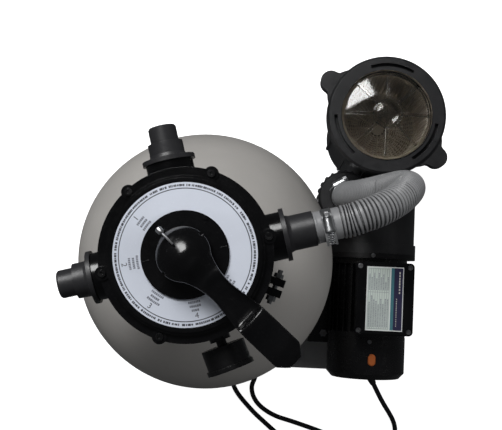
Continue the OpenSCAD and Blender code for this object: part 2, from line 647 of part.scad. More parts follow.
// ---------------- pump ----------------
module pump_volute() color("#252527") difference() {
    union() {
        on_shaft(casing_front_y - 3) cylinder(r = volute_r, h = volute_len - 3);
        on_shaft(casing_front_y) cylinder(r1 = volute_r - 6, r2 = volute_r, h = 3.5);
        on_shaft(casing_back_y + 14) cylinder(r = casing_flange_r, h = 14);
        translate([outlet_x, outlet_y, shaft_z]) cylinder(r = outlet_r, h = outlet_top_z - shaft_z);
        translate([outlet_x, outlet_y, nut_z - 10]) cylinder(r = outlet_r + 9, h = 8);
        translate([pump_x, casing_back_y + volute_len / 2, shaft_z - volute_r - 2]) cylinder(r = 12, h = 12);
    }
    on_shaft(casing_front_y - volute_wall) cylinder(r = volute_r - volute_wall, h = volute_len + 5);
    on_shaft(casing_front_y + 1) cylinder(r = 24, h = 20);
    translate([outlet_x, outlet_y, shaft_z]) cylinder(r = 16, h = 200);
    translate([pump_x, casing_back_y + volute_len / 2, shaft_z - volute_r - 3]) cylinder(r = 6, h = 20);
}

module seal_plate() color("#1b1b1d") difference() {
    union() {
        on_shaft(casing_back_y) cylinder(r = casing_flange_r, h = plate_t);
        on_shaft(casing_back_y + 8) cylinder(r = volute_r - volute_wall - gap, h = 9);
    }
    on_shaft(casing_back_y + 9) cylinder(r = seal_r, h = plate_t + 20);
}

module shaft_seal() color("#3a3a3c") on_shaft(casing_back_y + 8)
    tube(seal_r, shaft_r + run, plate_t + 4);

impeller_t = 16;
module impeller() color("#e3e1da") on_shaft(impeller_y) difference() {
    union() {
        cylinder(r = shaft_r + 6, h = impeller_t);
        at_z(impeller_t - 4) cylinder(r = impeller_r, h = 4);
        for (i = [0:5]) rotate([0, 0, 60 * i]) translate([shaft_r + 4, 6, 0]) rotate([0, 0, 25]) cube([impeller_r - shaft_r - 12, 3, impeller_t - 3]);
    }
    at_z(-1) cylinder(r = shaft_r, h = impeller_t + 2);
}

shaft_front_y = impeller_y + 4;
shaft_back_y = cowl_back_y + 20;
module pump_shaft() color("#b9bcc0") on_shaft(shaft_front_y) cylinder(r = shaft_r, h = shaft_front_y - shaft_back_y);

front_bearing_y = motor_front_y - 1;
rear_bearing_y = motor_back_y + 4 + bearing_w;
module bearings() color("#a9adb2") for (y = [front_bearing_y, rear_bearing_y])
    on_shaft(y) difference() {
        tube(bearing_r, shaft_r + run, bearing_w);
        for (z = [-1, bearing_w - 1.5]) at_z(z) tube(bearing_r - 3, shaft_r + 3, 2.5);
    }

module union_nut() color("#333335") translate([outlet_x, outlet_y, nut_z]) difference() {
    union() {
        cylinder(r = nut_r - 2, h = nut_h - 3);
        at_z(nut_h - 3) cylinder(r1 = nut_r - 2, r2 = nut_r - 5, h = 3);
        for (i = [0:23]) rotate([0, 0, 15 * i]) translate([nut_r - 2.5, 0, 0]) cylinder(r = 2.5, h = nut_h - 4, $fn = 16);
    }
    at_z(-1) cylinder(r = outlet_r + gap, h = 17);
    at_z(12 + gap) cylinder(r = outlet_r + 4 + gap, h = 8 + gap);
    at_z(15) cylinder(r = tail_step_r + gap, h = 40);
}

module discharge_tail() color("#232325") translate([outlet_x, outlet_y, 0]) difference() {
    union() {
        at_z(outlet_top_z + gap) cylinder(r = outlet_r + 4, h = 8 - gap);
        at_z(outlet_top_z + gap) cylinder(r = tail_step_r, h = hose_start_z - outlet_top_z - gap);
        at_z(hose_start_z - 1) cylinder(r = tail_r, h = spigot_top_z - hose_start_z);
    }
    at_z(outlet_top_z - 5) cylinder(r = tail_r - tail_wall, h = 200);
}

module drain_screw(x, y, z, r) translate([x, y, z]) {
    at_z(-5) cylinder(r = r + 3, h = 5 - gap, $fn = 6);
    at_z(-1) cylinder(r = r - gap, h = 10);
}
module pump_drain_plugs() color("#0f0f10") {
    drain_screw(pump_x, pot_y, pot_bottom_z - 8, 7);
    // the casing's plug sits in its boss, flush with the base's top
    translate([pump_x, casing_back_y + volute_len / 2, shaft_z - volute_r - 2]) cylinder(r = 6 - gap, h = 8);
}

// ---------------- motor ----------------
fin_count = 30;
module motor_housing() color("#19191b") on_shaft(motor_front_y) difference() {
    union() {
        cylinder(r = motor_r - 6, h = motor_len);
        for (z = [0, motor_len - 8]) at_z(z) cylinder(r = motor_r, h = 8);
        for (i = [0:fin_count - 1]) rotate([0, 0, 360 / fin_count * i])
            translate([motor_r - 8, -1, 1]) cube([7.5, 2, motor_len - 2]);
    }
    at_z(13) cylinder(r = motor_r - 9.5, h = motor_len - 32);
    at_z(-1) cylinder(r = bearing_r, h = 2 + bearing_w);
    at_z(-1) cylinder(r = bearing_r - 4, h = motor_len + 4);
    at_z(motor_len - 4 - bearing_w) cylinder(r = bearing_r, h = bearing_w + 8);
}

module motor_screws() color("#b5b7ba") for (y = [motor_front_y + 4, motor_back_y - 5], a = [0, 120, 240])
    on_shaft(y) rotate([0, 0, a + 90]) translate([y > 0 ? casing_flange_r : motor_r + 0.5, 0, 0]) rotate([0, 90, 0])
        cylinder(r = 3, h = 2.2, $fn = 24);

module stator_core() color("#7d7f82") on_shaft(core_from + core_len) tube(motor_r - 9.5, rotor_core_r + 0.6, core_len);
module rotor_core() color("#8a8c8f") on_shaft(core_from + core_len) tube(rotor_core_r, shaft_r, core_len);

fan_y = motor_back_y - 14;
module cooling_fan() color("#dcdcd8") on_shaft(fan_y) difference() {
    union() {
        cylinder(r = shaft_r + 5, h = 18);
        cylinder(r = 26, h = 2.5);
        for (i = [0:6]) rotate([0, 0, 360 / 7 * i]) translate([shaft_r + 2, -1, 1]) cube([motor_r - shaft_r - 14, 2, 16]);
    }
    at_z(-1) cylinder(r = shaft_r, h = 30);
}

cowl_wall = 2;
module cowl_shell() on_shaft(motor_back_y - gap) difference() {
    union() {
        cylinder(r = motor_r + 0.5, h = cowl_len - 8 - gap);
        at_z(cowl_len - 8 - gap) cylinder(r1 = motor_r + 0.5, r2 = motor_r - 7, h = 8);
    }
    at_z(-1) cylinder(r = motor_r + 0.5 - cowl_wall, h = cowl_len - 8);
    at_z(cowl_len - 9) cylinder(r1 = motor_r - 1.5, r2 = motor_r - 9, h = 9 - cowl_wall - gap);
    for (k = [0:3]) at_z(cowl_len - 8) for (a = [45, 135, 225, 315])
        rotate([0, 0, a - 33]) rotate_extrude(angle = 66) translate([14 + 8 * k, 0]) square([4, 20]);
}

module fan_cowl() color("#141416") difference() {
    cowl_shell();
    relief_place() at_z(-12) cylinder(r = relief_r + run, h = 24);
}

module motor_foot() color("#161618") difference() {
    union() {
        translate([foot_left, motor_back_y - 15, base_h]) cube([base_right - foot_left - 4, motor_len - 4, foot_t]);
        translate([pump_x - 36, motor_back_y + 4, base_h]) cube([72, motor_len - 40, 26]);
    }
    on_shaft(motor_front_y + 20) cylinder(r = motor_r + gap, h = motor_len + 60);
    for (p = FOOT_SCREWS) translate([p[0], p[1], base_h - 1]) cylinder(r = 2.8, h = 20);
}

module foot_screws() color("#c6c8ca") for (p = FOOT_SCREWS) translate([p[0], p[1], base_h + foot_t]) {
    difference() {
        cylinder(r = 6, h = 4, $fn = 6);
        at_z(2.5) cylinder(r = 2.2, h = 3, $fn = 6);
    }
    at_z(-24) cylinder(r = 2.5, h = 25, $fn = 32);
}

// ---------------- terminal box ----------------
module box_block(inset, z, h, corner) translate([box_cx, box_cy, z]) linear_extrude(h) {
    w = box_x - 2 * inset;
    d = box_y - 2 * inset;
    square([w - 2 * corner, d], center = true);
    square([w, d - 2 * corner], center = true);
    for (x = [-1, 1], y = [-1, 1]) translate([x * (w / 2 - corner), y * (d / 2 - corner)]) circle(r = corner, $fn = 48);
}
BOX_CORNERS = [for (x = [-1, 1], y = [-1, 1]) [box_cx + x * (box_x / 2 - 6), box_cy + y * (box_y / 2 - 6)]];

module terminal_box() color("#161618") difference() {
    union() {
        difference() {
            box_block(1, box_bottom_z - 14, box_top_z - box_bottom_z + 14, 5);
            box_block(1 + box_wall, box_top_z - 28, 40, 3);
        }
        for (p = BOX_CORNERS) translate([p[0], p[1], box_top_z - 20]) cylinder(r = 4.5, h = 20, $fn = 32);
    }
    on_shaft(motor_front_y + 30) cylinder(r = motor_r + gap, h = motor_len + 60);
    translate([pump_x + motor_r - 12, box_cy - 80, box_bottom_z - 20]) cube([60, 160, 12]);
    for (p = BOX_CORNERS) translate([p[0], p[1], box_top_z - 14]) cylinder(r = 1.6, h = 20, $fn = 32);
}

module terminal_lid() color("#101012") difference() {
    union() {
        box_block(0, box_top_z + gap, lid_t - 3, 6);
        box_block(2, box_top_z + gap, lid_t, 5);
    }
    box_block(4, box_top_z - 1, 6, 3);
    translate([box_cx - plate_x / 2, box_cy - plate_y / 2, box_top_z + gap + lid_t - 0.8]) cube([plate_x, plate_y, 5]);
    for (p = BOX_CORNERS) translate([p[0], p[1], box_top_z - 1]) {
        cylinder(r = 2, h = 20, $fn = 32);
        at_z(lid_t - 3) cylinder(r = 4.2, h = 20, $fn = 32);
    }
}

module box_screws() color("#c6c8ca") for (p = BOX_CORNERS) translate([p[0], p[1], box_top_z + lid_t - 4 + eps]) difference() {
    union() {
        cylinder(r = 3.6, h = 2.6, $fn = 32);
        at_z(-16) cylinder(r = 1.6, h = 17, $fn = 32);
    }
    translate([-4, -0.5, 1.6]) cube([8, 1, 2]);
}

module rating_plate() color("#cfd8d4") translate([box_cx - plate_x / 2 + gap, box_cy - plate_y / 2 + gap, box_top_z + gap + lid_t - 0.8])
    cube([plate_x - 2 * gap, plate_y - 2 * gap, 0.6]);

module capacitor() color("#d9dadb") translate([box_cx + 16, box_cy + 32, box_top_z - 12]) rotate([90, 0, 0]) cylinder(r = 13, h = 62);

// ---------------- hose ----------------
hose_r = hose_d / 2;
module transfer_hose() color("#8c8f92") difference() {
    swept_bar(smooth_route(HOSE_ROUTE, 4), [0.3, 1, 0.1], hose_r, 16);
    swept_bar(smooth_route(concat([HOSE_ROUTE[0] - [0, 0, 5]], HOSE_ROUTE, [HOSE_ROUTE[len(HOSE_ROUTE) - 1] - port_dir * 5]), 4),
        [0.3, 1, 0.1], tail_r + 0.6, 16);
}

clamp_w = 12;
module band_clamp() {
    tube(hose_r + 1, hose_r + gap, clamp_w);
    difference() {
        translate([-hose_r - 8, -9, 0.5]) cube([9, 18, clamp_w - 1]);
        at_z(-1) cylinder(r = hose_r + gap, h = clamp_w + 2);
    }
    translate([-hose_r - 4.5, 8, clamp_w / 2]) rotate([-90, 0, 0]) cylinder(r = 3.8, h = 7, $fn = 6);
}
module hose_clamps() color("#c5c8cb") {
    radial(PORT_ANGLES[0], pump_tail_step + 9, port_z) band_clamp();
    translate([outlet_x, outlet_y, hose_start_z + 6]) rotate([0, 0, -60]) band_clamp();
}

// ---------------- mains cord ----------------
module relief_place() translate(relief_from) rotate([0, 0, relief_turn]) rotate([0, 90 + relief_drop, 0]) children();
module strain_relief() color("#111112") relief_place() {
    at_z(-10) cylinder(r = relief_r, h = 16);
    at_z(5) cylinder(r1 = relief_r - 1, r2 = cord_r + 1, h = relief_len - 5);
}

module cord_run() color("#0c0c0d") {
    swept_bar(smooth_route(CORD_ROUTE, 2), [0, 0.05, 1], cord_r, 8);
    swept_bar(smooth_route(PLUG_ROUTE, 2), [0, 0.05, 1], cord_r, 8);
}

module cord_coil() color("#0c0c0d") translate([coil_at[0], coil_at[1], 0])
    tube(coil_mid_r + coil_w / 2, coil_mid_r - coil_w / 2, coil_h);

module mains_plug() color("#101011") translate(plug_from) rotate([0, 90, 0]) {
    cylinder(r1 = cord_r + 1.5, r2 = 11, h = 14);
    at_z(14 - eps) cylinder(r1 = 14, r2 = plug_r, h = 6);
    at_z(20 - 2 * eps) cylinder(r = plug_r, h = plug_len - 20);
    for (y = [-1, 1]) translate([0, 9.5 * y, plug_len - 1]) cylinder(r = 2.4, h = 20, $fn = 32);
}

base_plate();
tank_shell();
standpipe();
lateral_hub();
lateral_tubes();
tank_drain_plug();
clamp_half_front();
clamp_half_rear();
clamp_bolts();
neck_oring();
valve_body();
spider_gasket();
valve_rotor();
rotor_spring();
valve_cover();
cover_screws();
position_label();
valve_handle();
handle_pin();
pressure_washer();
hose_tail_pump();
hose_tail_return();
hose_tail_waste();
gauge_case();
gauge_dial();
gauge_needle();
gauge_lens();
strainer_pot();
strainer_basket();
lid_ring();
lid_dome();
lid_oring();
pump_volute();
seal_plate();
impeller();
pump_shaft();
shaft_seal();
bearings();
union_nut();
discharge_tail();
pump_drain_plugs();
motor_housing();
motor_screws();
stator_core();
rotor_core();
cooling_fan();
fan_cowl();
motor_foot();
foot_screws();
terminal_box();
terminal_lid();
box_screws();
rating_plate();
capacitor();
transfer_hose();
hose_clamps();
strain_relief();
cord_run();
cord_coil();
mains_plug();
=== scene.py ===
import math
import random

import bmesh
import bpy
from mathutils import Matrix, Vector


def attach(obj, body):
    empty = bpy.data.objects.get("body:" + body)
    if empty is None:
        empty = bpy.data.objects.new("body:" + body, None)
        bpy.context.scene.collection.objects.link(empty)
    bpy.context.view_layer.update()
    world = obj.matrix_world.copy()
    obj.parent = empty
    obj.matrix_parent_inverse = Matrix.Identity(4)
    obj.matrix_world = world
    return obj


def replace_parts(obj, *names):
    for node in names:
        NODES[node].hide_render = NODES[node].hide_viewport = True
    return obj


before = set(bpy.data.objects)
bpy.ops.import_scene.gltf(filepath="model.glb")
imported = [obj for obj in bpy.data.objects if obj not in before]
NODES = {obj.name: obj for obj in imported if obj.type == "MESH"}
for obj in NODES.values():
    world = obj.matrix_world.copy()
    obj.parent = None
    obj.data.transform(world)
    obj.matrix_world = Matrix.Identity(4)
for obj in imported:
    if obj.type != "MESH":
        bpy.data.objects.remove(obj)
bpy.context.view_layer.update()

ROOT = "filter_unit"
MM = 0.001


def pos(x, y, z):
    """A point given in millimetres, in metres."""
    return Vector((x * MM, y * MM, z * MM))


def polar(angle, radius, z):
    """A point at an angle in degrees round the tank's axis, from millimetres."""
    return pos(radius * math.cos(math.radians(angle)), radius * math.sin(math.radians(angle)), z)


def turned(angle, axis="Z"):
    """A matrix that turns by an angle in degrees round an axis."""
    return Matrix.Rotation(math.radians(angle), 4, axis)


def place(origin, along, side):
    """A matrix whose +Z runs along one direction and whose +X is as near as it can be to another."""
    z = Vector(along).normalized()
    y = z.cross(Vector(side)).normalized()
    return Matrix.Translation(origin) @ Matrix((y.cross(z), y, z)).transposed().to_4x4()


# ---------------------------------------------------------------- camera and studio

CAMERA_AT = pos(98.8, -24.0, 1628.8)
CAMERA_BACK = Vector((0.0458, -0.1055, 1.6288)).normalized()
CAMERA_ROLL = -0.044
LENS_MM = 72.04
SENSOR_MM = 36.0

SKY_COLOUR = (0.93, 0.96, 1.0, 1.0)
SKY_STRENGTH = 0.045
FLOOR_HALF = 40.0
FLOOR_Z = -0.0006
FLOOR_GREY = (0.9, 0.9, 0.9, 1)
FLOOR_GLOW = 0.95


def make_camera():
    """Looks almost straight down, from 1.63 m above the floor."""
    data = bpy.data.cameras.new("camera")
    data.sensor_width = SENSOR_MM
    data.lens = LENS_MM
    data.clip_end = 20.0
    camera = bpy.data.objects.new("camera", data)
    bpy.context.scene.collection.objects.link(camera)
    up_hint = Vector((math.sin(CAMERA_ROLL), math.cos(CAMERA_ROLL), 0.0))
    right = up_hint.cross(CAMERA_BACK).normalized()
    up = CAMERA_BACK.cross(right)
    turn = Matrix((right, up, CAMERA_BACK)).transposed().to_4x4()
    camera.matrix_world = Matrix.Translation(CAMERA_AT) @ turn
    bpy.context.scene.camera = camera


def area_light(name, at, target, size, power, shine=True):
    """A rectangular lamp that faces a target. Without shine it isn't seen in glossy surfaces."""
    data = bpy.data.lights.new(name, "AREA")
    data.shape = "RECTANGLE"
    data.size, data.size_y = size
    data.energy = power
    lamp = bpy.data.objects.new(name, data)
    bpy.context.scene.collection.objects.link(lamp)
    lamp.visible_glossy = shine
    facing = (Vector(target) - Vector(at)).to_track_quat("-Z", "Y").to_matrix().to_4x4()
    lamp.matrix_world = Matrix.Translation(at) @ facing


def make_floor():
    """A bright floor that lights nothing else and isn't mirrored in the part."""
    corners = [(-1, -1), (1, -1), (1, 1), (-1, 1)]
    mesh = bpy.data.meshes.new("floor")
    mesh.from_pydata([(x * FLOOR_HALF, y * FLOOR_HALF, FLOOR_Z) for x, y in corners], [], [(0, 1, 2, 3)])
    floor = bpy.data.objects.new("floor", mesh)
    bpy.context.scene.collection.objects.link(floor)
    mat = bpy.data.materials.new("floor")
    mat.use_nodes = True
    shader = mat.node_tree.nodes["Principled BSDF"]
    shader.inputs["Base Color"].default_value = FLOOR_GREY
    shader.inputs["Roughness"].default_value = 0.9
    shader.inputs["Emission Color"].default_value = (1, 1, 1, 1)
    shader.inputs["Emission Strength"].default_value = FLOOR_GLOW
    mesh.materials.append(mat)
    floor.visible_diffuse = False
    floor.visible_glossy = False


def make_studio():
    """A dim sky, a key light behind the unit, two soft fills, and the floor."""
    world = bpy.data.worlds.new("studio")
    world.use_nodes = True
    sky = world.node_tree.nodes["Background"]
    sky.inputs[0].default_value = SKY_COLOUR
    sky.inputs[1].default_value = SKY_STRENGTH
    bpy.context.scene.world = world
    bpy.context.scene.view_settings.view_transform = "Standard"
    area_light("key_light", (-0.75, 1.5, 2.25), (0.0, 0.0, 0.35), (1.2, 1.2), 54)
    area_light("side_light", (1.9, 0.1, 1.5), (0.1, 0.0, 0.3), (1.4, 0.8), 13, False)
    area_light("left_light", (-2.0, -0.5, 1.2), (0.0, 0.0, 0.25), (1.4, 0.8), 5, False)
    make_floor()


make_camera()
make_studio()


# ---------------------------------------------------------------- materials

MIX_A, MIX_B, MIX_RESULT = 6, 7, 2        # a mix node's colour sockets
PLUG_FACE_X = 0.2564                      # the plug's pins stand past this x, in metres


class Nodes:
    """Short names for building a material's nodes."""

    def __init__(self, name):
        self.mat = bpy.data.materials.new(name)
        self.mat.use_nodes = True
        self.tree = self.mat.node_tree
        self.shader = self.tree.nodes["Principled BSDF"]
        self.coords = self.add("ShaderNodeTexCoord").outputs["Object"]

    def add(self, kind, **props):
        node = self.tree.nodes.new(kind)
        for key, value in props.items():
            setattr(node, key, value)
        return node

    def put(self, value, socket):
        if hasattr(value, "is_output"):
            self.tree.links.new(value, socket)
        else:
            socket.default_value = value

    def math(self, kind, a, b=0.0, clamp=False):
        node = self.add("ShaderNodeMath", operation=kind, use_clamp=clamp)
        self.put(a, node.inputs[0])
        self.put(b, node.inputs[1])
        return node.outputs[0]

    def noise(self, scale, detail=3.0, rough=0.5, distortion=0.0, stretch=None):
        node = self.add("ShaderNodeTexNoise")
        coords = self.coords
        if stretch:
            mapping = self.add("ShaderNodeMapping")
            mapping.inputs["Scale"].default_value = stretch
            self.put(coords, mapping.inputs["Vector"])
            coords = mapping.outputs[0]
        self.put(coords, node.inputs["Vector"])
        node.inputs["Scale"].default_value = scale
        node.inputs["Detail"].default_value = detail
        node.inputs["Roughness"].default_value = rough
        node.inputs["Distortion"].default_value = distortion
        return node.outputs["Fac"]

    def ramp(self, value, low, high, out_low=0.0, out_high=1.0):
        node = self.add("ShaderNodeMapRange")
        self.put(value, node.inputs[0])
        for i, v in enumerate((low, high, out_low, out_high)):
            node.inputs[i + 1].default_value = v
        return node.outputs[0]

    def blend(self, fac, a, b, kind="MIX"):
        node = self.add("ShaderNodeMix", data_type="RGBA", blend_type=kind)
        self.put(fac, node.inputs[0])
        self.put(a if hasattr(a, "is_output") else (*a, 1.0), node.inputs[MIX_A])
        self.put(b if hasattr(b, "is_output") else (*b, 1.0), node.inputs[MIX_B])
        return node.outputs[MIX_RESULT]

    def bevel_normal(self, radius):
        bevel = self.add("ShaderNodeBevel", samples=3)
        bevel.inputs["Radius"].default_value = radius
        return bevel.outputs[0]

    def edges(self, radius):
        """About 1 on edges sharper than the radius, in metres, and 0 on flat areas."""
        dot = self.add("ShaderNodeVectorMath", operation="DOT_PRODUCT")
        self.put(self.bevel_normal(radius), dot.inputs[0])
        self.put(self.add("ShaderNodeNewGeometry").outputs["Normal"], dot.inputs[1])
        return self.ramp(dot.outputs["Value"], 0.97, 0.75)

    def grooves(self):
        """Painted shade from ambient occlusion: about 1 on open surfaces, falling to 0.12 deep in a groove a
        few millimetres wide.
        """
        depth = self.add("ShaderNodeAmbientOcclusion", samples=6, only_local=True)
        depth.inputs["Distance"].default_value = 0.004
        return self.ramp(depth.outputs["AO"], 0.5, 0.86, 0.12, 1.0)

    def bump(self, height, distance, strength=1.0, radius=0.0006):
        node = self.add("ShaderNodeBump")
        node.inputs["Distance"].default_value = distance
        node.inputs["Strength"].default_value = strength
        self.put(height, node.inputs["Height"])
        self.put(self.bevel_normal(radius), node.inputs["Normal"])
        self.put(node.outputs[0], self.shader.inputs["Normal"])

    def finish(self, colour, rough, **constants):
        self.put(colour, self.shader.inputs["Base Color"])
        self.put(rough, self.shader.inputs["Roughness"])
        for key, value in constants.items():
            self.shader.inputs[key.replace("_", " ")].default_value = value
        return self.mat


def paler(colour, factor, lift):
    return [min(c * factor + lift, 1.0) for c in colour]


def moulded(name, colour, rough, shift, grain, grain_scale, wear, cloud=14, spread=0.08, radius=0.0006,
            painted_groove_shade=False):
    """Injection-moulded plastic or paint: cloudy colour, fine grain, smudged gloss and paler edges.

    With the groove flag set, its colour is also darkened deep in its grooves: painted shade.
    """
    n = Nodes(name)
    clouds = n.noise(cloud, 4.0, 0.55, 0.4)
    flecks = n.noise(420, 2.0, 0.6)
    scuffs = n.noise(55, 6.0, 0.65, 1.2, (1.0, 1.0, 3.0))
    deep = [c * (1 - shift) for c in colour]
    tone = n.blend(n.ramp(clouds, 0.35, 0.65), deep, paler(colour, 1 + shift, 0.002))
    tone = n.blend(n.ramp(flecks, 0.62, 0.78, 0.0, 0.35), tone, paler(colour, 1.25, 0.01))
    worn = n.math("MULTIPLY", n.edges(0.0011), n.ramp(scuffs, 0.4, 0.7))
    tone = n.blend(n.math("MULTIPLY", worn, wear, True), tone, paler(colour, 1.6, 0.10))
    # painted shade: the colour is multiplied down deep in grooves a few millimetres wide
    if painted_groove_shade:
        tone = n.blend(1.0, tone, n.grooves(), "MULTIPLY")
    broad = n.ramp(scuffs, 0.3, 0.7, rough - spread, rough + spread)
    smudge = n.math("ADD", broad, n.ramp(flecks, 0.3, 0.7, -0.03, 0.03), True)
    n.bump(n.math("ADD", n.noise(grain_scale, 2.0, 0.6), n.math("MULTIPLY", scuffs, 0.6)), grain, 1.0, radius)
    return n.finish(tone, smudge)


def metal(name, colour, rough, stretch=(1.0, 1.0, 12.0), streaks=260):
    """Drawn or rolled metal: fine streaks along its grain, and duller patches."""
    n = Nodes(name)
    lines = n.noise(streaks, 4.0, 0.6, 0.2, stretch)
    patch = n.noise(45, 4.0, 0.6, 0.8)
    tone = n.blend(n.ramp(lines, 0.35, 0.65), [c * 0.78 for c in colour], colour)
    tone = n.blend(n.ramp(patch, 0.55, 0.8, 0.0, 0.4), tone, [c * 0.55 for c in colour])
    n.bump(lines, 0.00003, 1.0, 0.0004)
    return n.finish(tone, n.ramp(patch, 0.3, 0.7, rough - 0.08, rough + 0.12), Metallic=1.0)


def clear(name, tint, rough):
    """Clear plastic with a faint haze."""
    n = Nodes(name)
    haze = n.noise(38, 5.0, 0.6, 0.8)
    fine = n.noise(900, 2.0, 0.5)
    tone = n.blend(n.ramp(haze, 0.35, 0.7), [c * 0.94 for c in tint], tint)
    n.bump(n.math("ADD", haze, n.math("MULTIPLY", fine, 0.05)), 0.0002, 0.5, 0.0005)
    return n.finish(tone, n.ramp(haze, 0.35, 0.75, rough, rough + 0.08), IOR=1.49, Transmission_Weight=1.0)


def plug_material():
    """Black moulding with steel pins past the plug's face."""
    n = Nodes("plug")
    split = n.add("ShaderNodeSeparateXYZ")
    n.put(n.coords, split.inputs[0])
    pins = n.math("GREATER_THAN", split.outputs[0], PLUG_FACE_X)
    scuffs = n.noise(70, 5.0, 0.6, 0.8)
    black = n.blend(n.ramp(scuffs, 0.35, 0.7), (0.010, 0.010, 0.011), (0.022, 0.022, 0.023))
    tone = n.blend(pins, black, (0.60, 0.58, 0.54))
    n.put(pins, n.shader.inputs["Metallic"])
    n.bump(n.noise(1500, 2.0, 0.6), 0.00006)
    dull = n.ramp(scuffs, 0.3, 0.7, 0.42, 0.6)
    return n.finish(tone, n.math("SUBTRACT", dull, n.math("MULTIPLY", pins, 0.2)))


# colour, roughness, colour shift, grain depth, grain scale and edge wear; then, where they differ from
# the defaults, cloud scale, gloss spread, bevel radius and whether its grooves get painted shade
MOULDED = {
    "tank_plastic": ((0.42, 0.405, 0.385), 0.47, 0.06, 0.00009, 800, 0.2, 6, 0.05),
    "base_plastic": ((0.26, 0.26, 0.265), 0.48, 0.12, 0.00012, 900, 0.3),
    "black_gloss": ((0.0016, 0.0016, 0.002), 0.17, 0.2, 0.00004, 1200, 0.15, 14, 0.05),
    "black_satin": ((0.0024, 0.0024, 0.0028), 0.34, 0.2, 0.00008, 1300, 0.2),
    "dark_grey_plastic": ((0.012, 0.012, 0.013), 0.36, 0.15, 0.00014, 1000, 0.35),
    "tail_grey": ((0.024, 0.024, 0.026), 0.4, 0.15, 0.0001, 1000, 0.3),
    "white_plastic": ((0.62, 0.60, 0.56), 0.42, 0.05, 0.00006, 1200, 0.1),
    "basket_white": ((0.66, 0.57, 0.45), 0.5, 0.1, 0.00006, 900, 0.1),
    "orange_cap": ((0.46, 0.12, 0.03), 0.4, 0.1, 0.00006, 900, 0.2),
    "needle_red": ((0.42, 0.02, 0.02), 0.35, 0.08, 0.00003, 900, 0.1, 14, 0.08, 0.0002),
    "motor_paint": ((0.0045, 0.0045, 0.005), 0.24, 0.2, 0.00004, 700, 0.2),
    "rubber_black": ((0.013, 0.013, 0.013), 0.72, 0.15, 0.0001, 1500, 0.2),
    "cord_black": ((0.008, 0.008, 0.009), 0.42, 0.2, 0.00006, 1600, 0.15),
    # the hose's grooves get painted shade
    "hose_grey": ((0.27, 0.273, 0.28), 0.38, 0.08, 0.00008, 900, 0.3, 14, 0.06, 0.0002, True),
}

# flat print and its inks: colour, roughness, colour shift, grain depth, grain scale and bevel radius
PRINTED = {
    "label_print": ((0.68, 0.72, 0.81), 0.36, 0.03, 0.00003, 700, 0.0002),
    "plate_print": ((0.74, 0.76, 0.75), 0.42, 0.03, 0.00003, 700, 0.0002),
    "dial_white": ((0.78, 0.79, 0.80), 0.45, 0.03, 0.00003, 900, 0.0002),
    "ink": ((0.05, 0.052, 0.065), 0.5, 0.15, 0.00002, 900, 0.0001),
    "ink_pale": ((0.20, 0.21, 0.25), 0.5, 0.15, 0.00002, 900, 0.0001),
    "ink_teal": ((0.05, 0.16, 0.19), 0.45, 0.12, 0.00002, 900, 0.0001),
    "ink_blue": ((0.018, 0.016, 0.05), 0.45, 0.15, 0.00002, 900, 0.0001),
    "plate_green": ((0.56, 0.63, 0.58), 0.42, 0.04, 0.00002, 900, 0.0001),
}

# CAD nodes whose finish differs from their slot's own
FINISHES = {
    "mains_plug": "plug",
    "lid_dome": "smoky_clear",
    "cover_screws": "screw_dark",
    "box_screws": "screw_steel",
    "motor_screws": "screw_steel",
    "foot_screws": "screw_steel",
    "hose_tail_pump": "tail_grey",
    "hose_tail_return": "tail_grey",
    "hose_tail_waste": "tail_grey",
}


MATERIALS = {name: moulded(name, *row) for name, row in MOULDED.items()}
MATERIALS |= {name: moulded(name, *row, wear=0.0, radius=radius) for name, (*row, radius) in PRINTED.items()}
MATERIALS |= {
    "steel": metal("steel", (0.74, 0.75, 0.76), 0.36),
    "screw_dark": metal("screw_dark", (0.07, 0.07, 0.072), 0.25),
    "screw_steel": metal("screw_steel", (0.36, 0.36, 0.37), 0.32),
    "core_steel": metal("core_steel", (0.35, 0.35, 0.36), 0.38, (1.0, 40.0, 1.0), 60),
    "clear_plastic": clear("clear_plastic", (0.86, 0.87, 0.87), 0.03),
    "smoky_clear": clear("smoky_clear", (0.80, 0.79, 0.77), 0.04),
    "plug": plug_material(),
}


def dress_nodes():
    """Gives each carried-over CAD node the finished material of its slot."""
    for name, obj in NODES.items():
        for holder in obj.material_slots:
            base = holder.material.name.split(".")[0]
            holder.material = MATERIALS[FINISHES.get(name, base)]


dress_nodes()


# ---------------------------------------------------------------- mesh helpers

BOX_FACES = [(3, 2, 1, 0), (4, 5, 6, 7), (0, 1, 5, 4), (1, 2, 6, 5), (2, 3, 7, 6), (3, 0, 4, 7)]


def link(obj):
    bpy.context.scene.collection.objects.link(obj)
    return obj


def evaluated_mesh(obj):
    """The mesh that an object's modifiers or text make."""
    return bpy.data.meshes.new_from_object(obj.evaluated_get(bpy.context.evaluated_depsgraph_get()))


def new_mesh(name, verts, faces, sharp=35):
    """A mesh with its faces outwards, and smooth except at edges sharper than an angle in degrees."""
    mesh = bpy.data.meshes.new(name)
    mesh.from_pydata([tuple(v) for v in verts], [], faces)
    work = bmesh.new()
    work.from_mesh(mesh)
    bmesh.ops.recalc_face_normals(work, faces=work.faces)
    for edge in work.edges:
        edge.smooth = not (len(edge.link_faces) == 2 and edge.calc_face_angle(0.0) > math.radians(sharp))
    for face in work.faces:
        face.smooth = True
    work.to_mesh(mesh)
    work.free()
    return mesh


def piece(name, verts, faces, slot, material=None, body=ROOT, sharp=35):
    """A mesh piece that rides on a body. Its material is the slot's, unless another is named."""
    obj = link(bpy.data.objects.new(name, new_mesh(name, verts, faces, sharp)))
    obj.data.materials.append(MATERIALS[material or slot])
    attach(obj, body)
    return obj


def join(*parts):
    """Several (verts, faces) pairs as one."""
    verts, faces = [], []
    for v, f in parts:
        faces += [tuple(i + len(verts) for i in face) for face in f]
        verts += v
    return verts, faces


def moved(part, matrix):
    """A (verts, faces) pair carried by a matrix."""
    return [matrix @ Vector(v) for v in part[0]], part[1]


